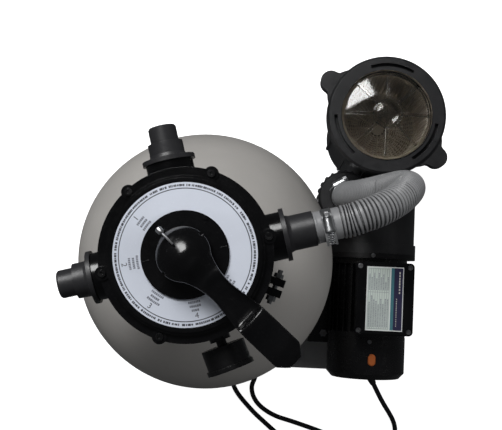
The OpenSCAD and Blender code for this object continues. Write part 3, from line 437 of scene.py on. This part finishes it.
def lathe(profile, steps, closed=False):
    """Turns a profile of (radius, height) points, in millimetres, round +Z. A closed profile makes a ring."""
    n = len(profile)
    verts, faces = [], []
    for k in range(steps):
        a = math.radians(360.0 * k / steps)
        verts += [pos(r * math.cos(a), r * math.sin(a), z) for r, z in profile]
    for k in range(steps):
        a, b = k * n, ((k + 1) % steps) * n
        for i in range(n if closed else n - 1):
            j = (i + 1) % n
            faces.append((a + i, b + i, b + j, a + j))
    if not closed:
        faces.append(tuple(k * n for k in reversed(range(steps))))
        faces.append(tuple(k * n + n - 1 for k in range(steps)))
    return verts, faces


def hoop(inner, outer, low, high, steps):
    """A flat ring with a rectangular section."""
    return lathe([(inner, low), (outer, low), (outer, high), (inner, high)], steps, True)


def skin(rings):
    """A closed shape through rings of points, each with as many points as the next."""
    n = len(rings[0])
    verts = [point for ring in rings for point in ring]
    last = len(verts) - n
    faces = [(a + k, a + (k + 1) % n, a + n + (k + 1) % n, a + n + k)
             for a in range(0, last, n) for k in range(n)]
    return verts, faces + [tuple(reversed(range(n))), tuple(range(last, last + n))]


def prism(outline, low, high, chamfer=0.0):
    """An outline of (x, y) points, in millimetres, from one height to another, its top edge chamfered."""
    cx = sum(p[0] for p in outline) / len(outline)
    cy = sum(p[1] for p in outline) / len(outline)
    reach = max(math.hypot(p[0] - cx, p[1] - cy) for p in outline)
    levels = [(low, 1.0), (high - chamfer, 1.0)]
    if chamfer:
        levels.append((high, 1 - chamfer / reach))
    return skin([[pos(cx + (x - cx) * s, cy + (y - cy) * s, z) for x, y in outline] for z, s in levels])


def bar(x0, x1, y0, y1, low, high, chamfer=0.0):
    return prism([(x0, y0), (x1, y0), (x1, y1), (x0, y1)], low, high, chamfer)


def rounded(width, height, radius, steps=5, at=(0, 0)):
    """A rectangle's outline with round corners, centred on a point."""
    out = []
    for sx, sy, first in ((1, 1, 0), (-1, 1, 90), (-1, -1, 180), (1, -1, 270)):
        for k in range(steps + 1):
            t = math.radians(first + 90 * k / steps)
            x = sx * (width / 2 - radius) + radius * math.cos(t)
            y = sy * (height / 2 - radius) + radius * math.sin(t)
            out.append((x + at[0], y + at[1]))
    return out


def hollow_tube(points, outer, inner, sides, side):
    """A tube on a path, open at its ends, with an outer and an inner radius at each point."""
    last = len(points) - 1

    def rings(radii):
        verts = []
        for i, point in enumerate(points):
            along = (points[min(i + 1, last)] - points[max(i - 1, 0)]).normalized()
            a = along.cross(side).normalized()
            b = a.cross(along)
            for k in range(sides):
                t = 2 * math.pi * k / sides
                verts.append(point + radii[i] * (math.cos(t) * a + math.sin(t) * b))
        return verts

    verts = rings(outer)
    off = len(verts)
    verts += rings(inner)
    wall = [(a + k, a + (k + 1) % sides, a + sides + (k + 1) % sides, a + sides + k)
            for a in range(0, last * sides, sides) for k in range(sides)]
    faces = wall + [tuple(off + i for i in reversed(f)) for f in wall]
    for a in (0, last * sides):
        faces += [(a + k, a + (k + 1) % sides, off + a + (k + 1) % sides, off + a + k) for k in range(sides)]
    return verts, faces


def carve(obj, *cutters):
    """Cuts closed shapes out of a piece, and smooths what is left except at edges sharper than 36 degrees."""
    for verts, faces in cutters:
        tool = link(bpy.data.objects.new("cutter", new_mesh("cutter", verts, faces)))
        cut = obj.modifiers.new("cut", "BOOLEAN")
        cut.operation = "DIFFERENCE"
        cut.solver = "EXACT"
        cut.object = tool
        result = evaluated_mesh(obj)
        obj.modifiers.remove(cut)
        obj.data = result
        bpy.data.objects.remove(tool)
    for polygon in obj.data.polygons:
        polygon.use_smooth = True
    obj.data.set_sharp_from_angle(angle=math.radians(36))


def on_curve(p, i, u):
    """Point at fraction u of the span after point i, on a smooth curve through p."""
    a, b = p[max(i - 1, 0)], p[i]
    c, d = p[i + 1], p[min(i + 2, len(p) - 1)]
    square = 2 * a - 5 * b + 4 * c - d
    cube = 3 * b - a - 3 * c + d
    return 0.5 * (2 * b + (c - a) * u + square * u * u + cube * u ** 3)


def smooth_route(p, steps):
    out = [on_curve(p, i, k / steps) for i in range(len(p) - 1) for k in range(steps)]
    return out + [p[-1].copy()]


def path_length(points):
    return sum((b - a).length for a, b in zip(points, points[1:]))


def even_path(points, step):
    """The same path with its points a step apart."""
    total = path_length(points)
    count = max(2, round(total / step))
    out, walked, i = [], 0.0, 0
    for k in range(count + 1):
        goal = total * k / count
        while i < len(points) - 2 and walked + (points[i + 1] - points[i]).length < goal:
            walked += (points[i + 1] - points[i]).length
            i += 1
        span = (points[i + 1] - points[i]).length
        out.append(points[i].lerp(points[i + 1], min((goal - walked) / span, 1.0)))
    return out


def ease(t):
    """A smooth step from 0 to 1."""
    t = min(max(t, 0.0), 1.0)
    return t * t * (3 - 2 * t)


def between(table, x):
    """A value at x from a table of (x, value) pairs, level at each of them."""
    if x <= table[0][0]:
        return table[0][1]
    for (x0, v0), (x1, v1) in zip(table, table[1:]):
        if x <= x1:
            return v0 + (v1 - v0) * ease((x - x0) / (x1 - x0))
    return table[-1][1]


def flowing(table, x):
    """A value at x on a smooth curve through a table of (x, value) pairs."""
    last = len(table) - 1

    def slope(k):
        before, after = table[max(k - 1, 0)], table[min(k + 1, last)]
        return (after[1] - before[1]) / (after[0] - before[0])

    i = max(k for k in range(last) if table[k][0] <= x)
    (x0, v0), (x1, v1) = table[i], table[i + 1]
    span = x1 - x0
    t = min((x - x0) / span, 1.0)
    return ((2 * t ** 3 - 3 * t ** 2 + 1) * v0 + (t ** 3 - 2 * t ** 2 + t) * span * slope(i)
            + (3 * t ** 2 - 2 * t ** 3) * v1 + (t ** 3 - t ** 2) * span * slope(i + 1))


# ---------------------------------------------------------------- mains cord

CORD_D = 7.5 * MM
CORD_EXIT = pos(254.8, -174.7, 56.5)
CORD_ROUTE = [CORD_EXIT] + [pos(*p) for p in [
    (258.1, -180.4, 52.0), (264.4, -191.3, 42.6), (271.5, -203, 31), (279, -214.2, 19.5), (286.5, -225, 10.8),
    (293, -236, 6), (297, -248, 4.2), (297, -260, 4), (291.5, -271, 4), (281, -279.5, 4), (267, -284.5, 4),
    (250, -285.5, 4), (232, -281.5, 4), (208, -272, 4), (182, -261, 4), (157, -253, 4), (131, -245.5, 4),
    (109, -239.5, 4), (91, -231, 4), (77.5, -220.5, 4), (69, -207.5, 4), (66.5, -193.5, 4),
    (70.5, -180.5, 4), (74, -167.2, 4), (73.5, -155.9, 4), (67.5, -146.2, 4), (57.7, -140.7, 4),
    (46.3, -140.7, 4), (36.5, -146.2, 4), (30.5, -155.9, 4), (30, -167.2, 4), (33.5, -180.5, 4),
    (37.5, -194, 4), (45, -206.5, 4), (56, -219, 4), (72, -235, 4), (88, -248.5, 4), (102, -260, 4),
    (113, -268.5, 4)]]
PLUG_ROUTE = [pos(*p) for p in [
    (155.1, -346, 4.6), (159.1, -353.2, 4), (164.1, -359.1, 4.2), (170.4, -363.2, 5), (177.4, -365.9, 6.2),
    (185.1, -366.8, 8), (198, -366.4, 12), (210, -365.6, 16), (222, -365, 18.5)]]
COIL_AT = pos(105, -323, 0)
COIL_LANES = [48.5, 41.0, 33.5, 33.5, 41.0, 41.0]        # each turn's radius: inwards below, outwards on top
COIL_START = 53.13
COIL_TURNS = 5.106
COIL_STEPS = 120
FLOOR_LAYER, TOP_LAYER = 4.0, 11.5
TIE_RADIUS = 29.0
TIE_ANGLE = 200
TIE_THICK = 1.1
TIE_HALF_WIDTH = 3.5
TIE_MIDDLE = pos(10.95, 0, 8.5)
TIE_LOOP = [pos(*p) for p in [
    (-1.6, 0, 1.0), (-1.6, 0, 15.2), (0, 0, 17.0), (21.9, 0, 17.0), (23.5, 0, 15.2), (23.5, 0, 1.0),
    (21.9, 0, 0.3), (0, 0, 0.3)]]


def coil_point(turn):
    """A point of the coil after a number of turns. It changes lanes in the last fifth of each turn."""
    i = int(turn)
    shift = ease((turn - i - 0.8) / 0.2)
    radius = COIL_LANES[i] + (COIL_LANES[min(i + 1, 5)] - COIL_LANES[i]) * shift
    climb = ease((turn - 2.75) / 0.3)
    angle = math.radians(COIL_START - 360 * turn)
    height = FLOOR_LAYER + (TOP_LAYER - FLOOR_LAYER) * climb
    return COIL_AT + pos(radius * math.cos(angle), radius * math.sin(angle), height)


def cord_path():
    """From the strain relief over the floor, round the coil, and up into the plug."""
    coil = [coil_point(COIL_TURNS * k / COIL_STEPS) for k in range(1, COIL_STEPS)]
    return smooth_route(CORD_ROUTE, 4) + coil + smooth_route(PLUG_ROUTE, 4)


def make_tie():
    """A band round one side of the coil."""
    n = len(TIE_LOOP)
    verts, faces = [], []
    for offset in (0.0, TIE_THICK):
        for y in (-TIE_HALF_WIDTH, TIE_HALF_WIDTH):
            for p in TIE_LOOP:
                q = p + (TIE_MIDDLE - p).normalized() * offset * MM
                verts.append(pos(TIE_RADIUS, 0, 0) + q + pos(0, y, 0))
    for k in range(n):
        j = (k + 1) % n
        faces += [(k, j, n + j, n + k), (2 * n + k, 3 * n + k, 3 * n + j, 2 * n + j),
                  (k, 2 * n + k, 2 * n + j, j), (n + k, n + j, 3 * n + j, 3 * n + k)]
    turn = Matrix.Translation(COIL_AT) @ turned(TIE_ANGLE)
    return piece("cord_tie", *moved((verts, faces), turn), "rubber_black")


def make_cord():
    points = cord_path()
    curve = bpy.data.curves.new("mains_cord", "CURVE")
    curve.dimensions = "3D"
    curve.bevel_depth = CORD_D / 2
    curve.bevel_resolution = 4
    curve.use_fill_caps = True
    spline = curve.splines.new("POLY")
    spline.points.add(len(points) - 1)
    for target, point in zip(spline.points, points):
        target.co = (*point, 1.0)
    curve.materials.append(MATERIALS["cord_black"])
    cord = link(bpy.data.objects.new("mains_cord", curve))
    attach(cord, ROOT)
    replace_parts(cord, "cord_run", "cord_coil")
    tie = make_tie()


make_cord()


# ---------------------------------------------------------------- transfer hose and its clamps

PORT_Z = 500.114                       # height of the valve's ports
PORT_DIR = polar(15, 1000, 0)          # the way the pump port points
OUTLET = pos(190, 98, 0)               # the pump's outlet, seen from above
HOSE_START_Z = 221
HOSE_ROUTE = [OUTLET + pos(x, y, HOSE_START_Z + z) for x, y, z in [
    (0, 0, 0), (0, 0, 14), (0, 0, 28), (4, -1, 50), (14, -2, 79), (29, -1, 114), (46, 1, 149), (58, 1, 183),
    (62, -4, 214), (53, -15, 243), (38, -27, 264), (20, -37.5, 275.5), (2, -45, 279.6)]]
HOSE_ROUTE += [pos(0, 0, PORT_Z) + PORT_DIR * reach * MM for reach in (186, 174, 156, 144.5)]
GROOVE_PITCH = 4.2
GROOVE_DEPTH = 2.3
GROOVE = (0.0, 0.0, 0.0, 0.0, 0.12, 0.85, 1.0, 0.85)     # depth at equal steps along one pitch
RIDGE_R, CUFF_R, BORE_R = 19.0, 18.1, 15.4
PUMP_CUFF, VALVE_CUFF = 27, 29

CLAMP_LOW, CLAMP_HIGH = 18.25, 18.95                     # inner and outer radius of a clamp's band
VALVE_CLAMP_R = 153                                      # from the valve's axis to that clamp's near rim
PUMP_CLAMP_Z = 227
STRAP_SLOTS = 7
STRAP_DROP = 2.0


def make_hose():
    """A corrugated hose with a smooth cuff at each end, and narrow grooves that deepen away from the pump."""
    route = smooth_route(HOSE_ROUTE, 8)
    grooves = round(path_length(route) / (GROOVE_PITCH * MM))
    path = even_path(route, path_length(route) / (grooves * len(GROOVE)))
    last = len(path) - 1
    total = path_length(path)
    radii, inner = [], []
    for i in range(last + 1):
        from_pump = total / MM * i / last
        from_valve = total / MM - from_pump
        cuff = max(1 - ease((from_pump - PUMP_CUFF) / 3), 1 - ease((from_valve - VALVE_CUFF) / 2))
        deep = 0.35 + 0.65 * ease((i / last - 0.25) / 0.3)
        ridge = RIDGE_R - GROOVE_DEPTH * deep * GROOVE[i % len(GROOVE)]
        lip = 0.5 * max(0.0, 1 - abs(from_valve - 1.5) / 1.5)
        radii.append((ridge * (1 - cuff) + (CUFF_R + lip) * cuff) * MM)
        inner.append((BORE_R + 1.3 * cuff) * MM)
    tube = hollow_tube(path, radii, inner, 56, Vector((0.3, 1, 0.1)))
    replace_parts(piece("corrugated_hose", *tube, "hose_grey", sharp=50), "transfer_hose")


def half_round(radius_x, radius_z, steps=16):
    """A half ellipse's outline over the clamp's screw."""
    angles = [math.pi * k / steps for k in range(steps + 1)]
    return [(radius_x * math.cos(t), 1.0 + radius_z * math.sin(t)) for t in angles]


def screw_arch():
    """The clamp's arch over its screw, open at both ends."""
    outline = half_round(6.0, 5.4) + half_round(5.0, 4.4)[::-1]
    n = len(outline)
    verts = [pos(x, y, z) for y in (-8.2, 7.6) for x, z in outline]
    faces = [(k, (k + 1) % n, n + (k + 1) % n, n + k) for k in range(n)]
    for k in range(n // 2 - 1):
        quad = (k, k + 1, n - 2 - k, n - 1 - k)
        faces += [quad, tuple(n + i for i in reversed(quad))]
    return verts, faces


def clamp_parts():
    """A worm-drive clamp round +Z: its band from z 0 to 12, and its screw housing on the -X side."""
    low, high, rim = CLAMP_LOW, CLAMP_HIGH, CLAMP_HIGH + 0.25
    band = lathe([(low, 0.4), (high, 0), (rim, 0.5), (high, 1.2), (high, 10.8), (rim, 11.5), (high, 12),
                  (low, 11.6)], 96, True)
    housing = place(pos(-high, 0, 6), (-1, 0, 0), (0, 0, 1))
    saddle = prism(rounded(13.6, 19.5, 1.6), -0.6, 1.2, 0.5)
    screw = housing @ Matrix.Translation(pos(0, 0, 2.6)) @ turned(-90, "X")
    thread = lathe([(3.8 + (0.45 if k % 2 else -0.25), -7.6 + 15.2 * k / 26) for k in range(27)], 24)
    head = lathe([(4.0, 8.2), (4.5, 8.7), (4.5, 13.0), (3.9, 13.8), (2.6, 13.8), (2.6, 12.4),
                  (0.02, 12.2)], 6)
    collar = lathe([(5.1, 7.9), (5.1, 8.7), (3.0, 8.9)], 24)
    return [band, moved(saddle, housing), moved(screw_arch(), housing), moved(thread, screw),
            moved(head, screw), moved(collar, screw)]


def strap_tail(length):
    """The free end of the band, with its row of slots, leaving the housing and bending down."""
    pitch = length / STRAP_SLOTS

    def at(s, across, lift):
        bend = STRAP_DROP * (s / length) ** 2
        return pos(-19.6 - 0.15 * lift + bend, -8.0 - s * 0.93, 6 + across)

    def slab(s0, s1, a0, a1):
        corners = ((s0, a0), (s1, a0), (s1, a1), (s0, a1))
        return [at(s, a, lift) for lift in (0.0, 4.0) for s, a in corners], BOX_FACES

    parts = []
    for k in range(STRAP_SLOTS):
        s0, s1 = k * pitch, (k + 1) * pitch
        parts += [slab(s0, s1, -6.2, -4.0), slab(s0, s1, 4.0, 6.2), slab(s0, s0 + pitch * 0.5, -4.0, 4.0)]
    return join(*parts)


def make_clamps():
    """One clamp on the valve's tail and one on the pump's, with free ends of different lengths."""
    at_valve = place(PORT_DIR * VALVE_CLAMP_R * MM + pos(0, 0, PORT_Z), PORT_DIR, (0, 0, -1))
    at_pump = Matrix.Translation(OUTLET + pos(0, 0, PUMP_CLAMP_Z)) @ turned(-60)
    parts = []
    for turn, tail_length in ((at_valve, 17.0), (at_pump, 8.0)):
        parts += [moved(part, turn) for part in clamp_parts() + [strap_tail(tail_length)]]
    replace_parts(piece("worm_clamps", *join(*parts), "steel", sharp=30), "hose_clamps")


make_hose()
make_clamps()


# ---------------------------------------------------------------- valve handle

HANDLE_TURN = turned(-41)
HUB_R = 29.6
ARM_FROM = 14.0                        # the hub's circle ends and the arm's outline starts
CORNERS_FROM = 151.0                   # the paddle's corners are cut from here on
HINGE_Z = 582.214
ACROSS = 22
# places along the handle where a cross-section is drawn
STATIONS = [0.2 * k * k + 0.1 - HUB_R for k in range(11)] + list(range(-8, 86, 2)) + list(range(86, 113))
STATIONS += [113 + 2.5 * k for k in range(16)] + [152, 154, 156, 158, 160, 161.2, 162]
# along the handle: half its width, the height of its edges, the dome or dish between them, its underside
HALF_WIDTH = [(6, 28.99), (14, 26.08), (24, 19.6), (40, 14.6), (56, 12.8), (72, 14.2), (84, 16.0), (96, 17.2),
              (112, 17.6), (150, 17.6), (162, 17.6)]
EDGE_Z = [(-28, 577.5), (-10, 582), (20, 586), (48, 590.2), (94, 591.4), (98, 594.2), (104, 594.8),
          (140, 594.4), (157, 591), (162, 586.5)]
CROWN = [(-30, 2), (-22, 11), (0, 17.2), (14, 14.4), (36, 2.0), (48, -3.4), (88, -3.6), (97, -2.2),
         (100, 0.9), (140, 0.9), (162, 0.6)]
UNDER_Z = [(-28, 574.5), (-20, 573.7), (20, 573.7), (40, 577.0), (90, 577.0), (101, 575.4), (150, 575.4),
           (162, 578.5)]


def handle_half_width(x):
    """A round hub that flows into a waisted arm and a paddle with its corners cut."""
    if x < ARM_FROM:
        return math.sqrt(max(HUB_R ** 2 - x * x, 0.0))
    return flowing(HALF_WIDTH, x) - max(x - CORNERS_FROM, 0) * 0.86


def handle_section(x):
    """The section at x as (y, z) points: the top from side to side, then the sides and the underside."""
    w = max(handle_half_width(x), 0.8)
    edge, crown, under = between(EDGE_Z, x), between(CROWN, x), between(UNDER_Z, x)
    fullness = 2.1 if crown >= 0 else 5
    shoulder = edge - min(2.2, w * 0.4) * 0.6
    top = []
    for k in range(ACROSS + 1):
        u = -1 + 2 * k / ACROSS
        u = math.copysign(abs(u) ** 0.85, u)
        top.append((u * (w - 0.8), edge + crown * (1 - abs(u) ** fullness)))
    return top + [(w, shoulder), (w, under + 1.6), (w - 1.4, under), (0, under), (1.4 - w, under),
                  (-w, under + 1.6), (-w, shoulder)]


def make_handle():
    """A domed hub that runs into a dished arm with raised edges, and ends in a thicker paddle."""
    sections = [[pos(x, y, z) for y, z in handle_section(x)] for x in STATIONS]
    handle = piece("lever_handle", *moved(skin(sections), HANDLE_TURN), "black_gloss", body="handle")
    rim = lathe([(23.6, 563.7), (24, 564.3), (24, 576)], 72)
    foot = piece("lever_foot", *rim, "black_gloss", body="handle")
    slot = moved(bar(-14, 14, -9.3, 9.3, 560, 593.2), HANDLE_TURN)
    hinge = HANDLE_TURN @ Matrix.Translation(pos(0, 0, HINGE_Z)) @ turned(90, "X")
    carve(handle, slot, moved(lathe([(3.05, -40), (3.05, 40)], 32), hinge))
    carve(foot, slot)
    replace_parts(handle, "valve_handle")


def make_lever_pin():
    """The small steel pin behind the hub."""
    lean = Vector((-1, 0.03, -0.16)).normalized()
    turn = HANDLE_TURN @ place(pos(-13, 1.0, 599.2), lean, (0, 1, 0))
    shank = lathe([(0.9, 0), (1.15, 0.4), (1.15, 17)], 20)
    head = lathe([(1.6, 16.5), (3.3, 17.2), (3.6, 18.6), (3.6, 22.4), (3.0, 23.6), (1.2, 23.8)], 24)
    piece("lever_pin", *moved(join(shank, head), turn), "steel", body="handle")


make_handle()
make_lever_pin()


# ---------------------------------------------------------------- valve cover, label and gauge

LABEL_Z = 557.114
LABEL_LOW, LABEL_HIGH = LABEL_Z - 0.02, LABEL_Z + 0.05
EDGE_PRINT_R = 74.8
ROW_RADII = (51.6, 55.9, 60.2)
NUMBER_R = 66.2
POSITION_ANGLES = [146, 192, 238, 284, 329]
POINTER_ANGLES = POSITION_ANGLES + [14, 60, 104]
GAUGE_ANGLE = 293
GAUGE_R = 106.5
DIAL_LOW, DIAL_HIGH = 17.98, 18.05


def flat_bar(angle, radius, width, height):
    """A printed bar at a place on the label: width runs round the label and height runs outwards."""
    turn = Matrix.Translation(polar(angle, radius, 0)) @ turned(angle)
    return moved(bar(-height / 2, height / 2, -width / 2, width / 2, LABEL_LOW, LABEL_HIGH), turn)


def digit(number, size, turn):
    """A number as a thin printed mesh, centred on a matrix's origin."""
    data = bpy.data.curves.new("digit", "FONT")
    data.body = str(number)
    data.size = size * MM
    data.align_x = "CENTER"
    data.align_y = "CENTER"
    data.extrude = 0.03 * MM
    obj = link(bpy.data.objects.new("digit", data))
    mesh = evaluated_mesh(obj)
    part = [turn @ v.co for v in mesh.vertices], [tuple(p.vertices) for p in mesh.polygons]
    bpy.data.objects.remove(obj)
    return part


def make_label_print():
    """Generic print: a ring line, an edge of short dashes, and numbered positions with bars."""
    rng = random.Random(11)
    marks = [hoop(70.9, 71.9, LABEL_LOW, LABEL_HIGH, 240)]
    angle = 0.0
    while angle < 359:
        width = rng.choice([1.1, 1.4, 1.7, 2.1])
        if rng.random() > 0.1:
            marks.append(flat_bar(angle, EDGE_PRINT_R, width, rng.choice([2.0, 2.4, 2.4])))
        angle += math.degrees((width + 0.5) / EDGE_PRINT_R)
    piece("label_edge_print", *join(*marks), "label_print", "ink")

    rows = []
    for centre in POSITION_ANGLES:
        for r, radius in enumerate(ROW_RADII):
            spread = rng.uniform(13, 17) - r * rng.uniform(0, 3)
            at = -spread / 2
            while at < spread / 2 - 1:
                width = rng.choice([1.2, 1.5, 1.9])
                rows.append(flat_bar(centre + math.degrees((at + width / 2) / radius), radius, width, 2.4))
                at += width + 0.45
    piece("label_position_print", *join(*rows), "label_print", "ink_pale")

    numbers = []
    for k, centre in enumerate(POSITION_ANGLES):
        turn = Matrix.Translation(polar(centre, NUMBER_R, LABEL_Z + 0.03)) @ turned(centre + 90)
        numbers.append(digit(k + 1, 8.6, turn))
    piece("label_numbers", *join(*numbers), "label_print", "ink")


def make_hub_pointers():
    """Short raised pointers on the cover's hub, at each position and between them."""
    pointer = bar(38.5, 45.5, -0.45, 0.45, 559.9, 560.5, 0.15)
    piece("hub_pointers", *join(*[moved(pointer, turned(a)) for a in POINTER_ANGLES]), "black_gloss")


def make_gauge_print():
    """Ticks and numbers on the pressure gauge's dial."""
    turn = place(polar(GAUGE_ANGLE, GAUGE_R, PORT_Z), polar(GAUGE_ANGLE, 1000, 0), (0, 0, 1))
    marks = []
    for k in range(31):
        tick = 3.4 if k % 5 == 0 else 2.0
        mark = bar(20.6 - tick, 20.6, -0.3, 0.3, DIAL_LOW, DIAL_HIGH)
        marks.append(moved(mark, turn @ turned(-135 + 270 * k / 30)))
    marks.append(moved(hoop(20.9, 21.3, DIAL_LOW, DIAL_HIGH, 72), turn))
    for k in range(7):
        spot = Matrix.Translation(polar(135 - 270 * k / 6, 14, 18.02))
        marks.append(digit(k, 5.0, turn @ spot @ turned(-90)))
    piece("gauge_print", *join(*marks), "dial_white", "ink")


make_label_print()
make_hub_pointers()
make_gauge_print()


# ---------------------------------------------------------------- motor and terminal box

BOX_X, BOX_Y = 251, -42                # the terminal box's middle
PLATE_LOW, PLATE_HIGH = 215.06, 215.14
LINE_HALF = 0.2
COWL_CAP_AT = (240, -131)


def plate_bar(x0, x1, y0, y1):
    """A printed bar on the plate, placed from the terminal box's middle."""
    return bar(BOX_X + x0, BOX_X + x1, BOX_Y + y0, BOX_Y + y1, PLATE_HIGH - 0.02, PLATE_HIGH + 0.05)


def plate_area(name, x, width, height, radius, ink):
    """An area of plain colour on the plate."""
    outline = rounded(width, height, radius, at=(BOX_X + x, BOX_Y))
    piece(name, *prism(outline, PLATE_LOW, PLATE_HIGH), "plate_print", ink)


def make_plate_print():
    """The rating plate's print: a table of plain bars, and a stripe of two blues with pale dashes."""
    rng = random.Random(5)
    left, right, end = -24.4, 7.0, 43.4
    plate_area("plate_field", (left + right) / 2, right - left, 2 * end, 0.8, "plate_green")
    rows = [left + 1.2 + (right - left - 2.4) * k / 9 for k in range(10)]
    lines = [plate_bar(x - LINE_HALF, x + LINE_HALF, 1.5 - end, end - 1.5) for x in rows]
    lines += [plate_bar(rows[0], rows[-1], y - LINE_HALF, y + LINE_HALF) for y in (1.5 - end, 9, end - 1.5)]
    for row in rows[:-1]:
        for first, stop in ((4 - end, 5), (12, end - 4)):
            at, stop = first, stop - rng.uniform(2, 16)
            while at < stop:
                width = rng.choice([0.8, 1.1, 1.5])
                lines.append(plate_bar(row + 0.9, row + 2.4, at, at + width))
                at += width + 0.6
    piece("plate_lines", *join(*lines), "plate_print", "ink_pale")
    plate_area("plate_edge_stripe", 10.4, 4.4, 87, 0.6, "ink_teal")
    plate_area("plate_stripe", 18.6, 12.0, 87, 0.8, "ink_blue")
    dashes = []
    for k in range(13):
        dashes.append(plate_bar(16.0, 17.0, 3.1 * k - 38, 3.1 * k - 38 + rng.uniform(1.2, 2.3)))
    for k in range(8):
        dashes.append(plate_bar(19.4, 21.2, 3.9 * k + 8, 3.9 * k + 8 + rng.uniform(2.0, 3.1)))
    piece("plate_dashes", *join(*dashes), "plate_print", "white_plastic")


def make_cowl_cap():
    """The small orange cap on the fan cowl."""
    cap = prism(rounded(11, 17, 5.4, 8, COWL_CAP_AT), 170.0, 174.6, 1.6)
    piece("cowl_cap", *cap, "needle_red", "orange_cap")


make_plate_print()
make_cowl_cap()


# ---------------------------------------------------------------- strainer lid and basket

POT_AT = Matrix.Translation(pos(236, 203, 0))
DOME_TOP, DOME_R = 312, 190
BASKET_LOW, BASKET_HIGH = 177.0, 278.0
HOOPS, BARS, SPOKES = 13, 60, 48


def dome_z(r):
    """Height of the clear lid's top at a distance from its axis."""
    return DOME_TOP - DOME_R + math.sqrt(DOME_R ** 2 - r * r)


def lid_rib_section(r):
    z = dome_z(r)
    return [pos(r, -2.0, z - 0.4), pos(r, -1.5, z + 1.4), pos(r, 1.5, z + 1.4), pos(r, 2.0, z - 0.4)]


def make_lid_ribs():
    """Eight low ribs and a round boss, moulded on top of the clear lid."""
    rib = skin([lid_rib_section(17.5 + 3.0 * i) for i in range(14)])
    ribs = [moved(rib, turned(45 * k)) for k in range(8)]
    boss = lathe([(0.02, 311.6), (18.6, dome_z(18.6) - 0.4), (19.2, dome_z(19) + 0.5),
                  (18.0, dome_z(18) + 1.3), (14.6, dome_z(14.6) + 1.3), (13.8, dome_z(13.8) + 0.7),
                  (0.02, 312.8)], 64)
    top = moved(join(*ribs, boss), POT_AT)
    piece("lid_ribs", *top, "clear_plastic", "smoky_clear", "strainer_lid", sharp=40)


def wall_r(z):
    """The basket's outer radius at a height."""
    return 53.6 + 3.0 * (z - BASKET_LOW) / (BASKET_HIGH - BASKET_LOW)


def make_basket():
    """A moulded basket: upright bars and hoops round it, and a floor of rings and spokes."""
    floor_top = BASKET_LOW + 2
    parts = [hoop(56.4, 59.8, BASKET_HIGH, BASKET_HIGH + 3.4, 96)]
    for k in range(HOOPS):
        z = BASKET_LOW + (BASKET_HIGH - BASKET_LOW - 1.6) * k / (HOOPS - 1)
        parts.append(hoop(wall_r(z) - 1.5, wall_r(z), z, z + 1.6, 96))
    section = ((1.7, -0.7), (0.1, -0.7), (0.1, 0.7), (1.7, 0.7))
    upright = [pos(wall_r(z) - d, y, z) for z in (BASKET_LOW, BASKET_HIGH + 1) for d, y in section], BOX_FACES
    parts += [moved(upright, turned(360 / BARS * k)) for k in range(BARS)]
    parts.append(lathe([(0.02, BASKET_LOW), (9.0, BASKET_LOW), (9.0, floor_top), (0.02, floor_top)], 48))
    parts += [hoop(r, r + 1.9, BASKET_LOW, floor_top, 72) for r in range(11, 53, 3)]
    for k in range(SPOKES):
        spoke = bar(8.5 if k % 4 == 0 else 28.5, 53, -0.8, 0.8, BASKET_LOW + 0.1, floor_top + 0.1)
        parts.append(moved(spoke, turned(360 / SPOKES * k)))
    basket = piece("basket_mesh", *moved(join(*parts), POT_AT), "white_plastic", "basket_white", "basket")
    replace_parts(basket, "strainer_basket")


make_lid_ribs()
make_basket()
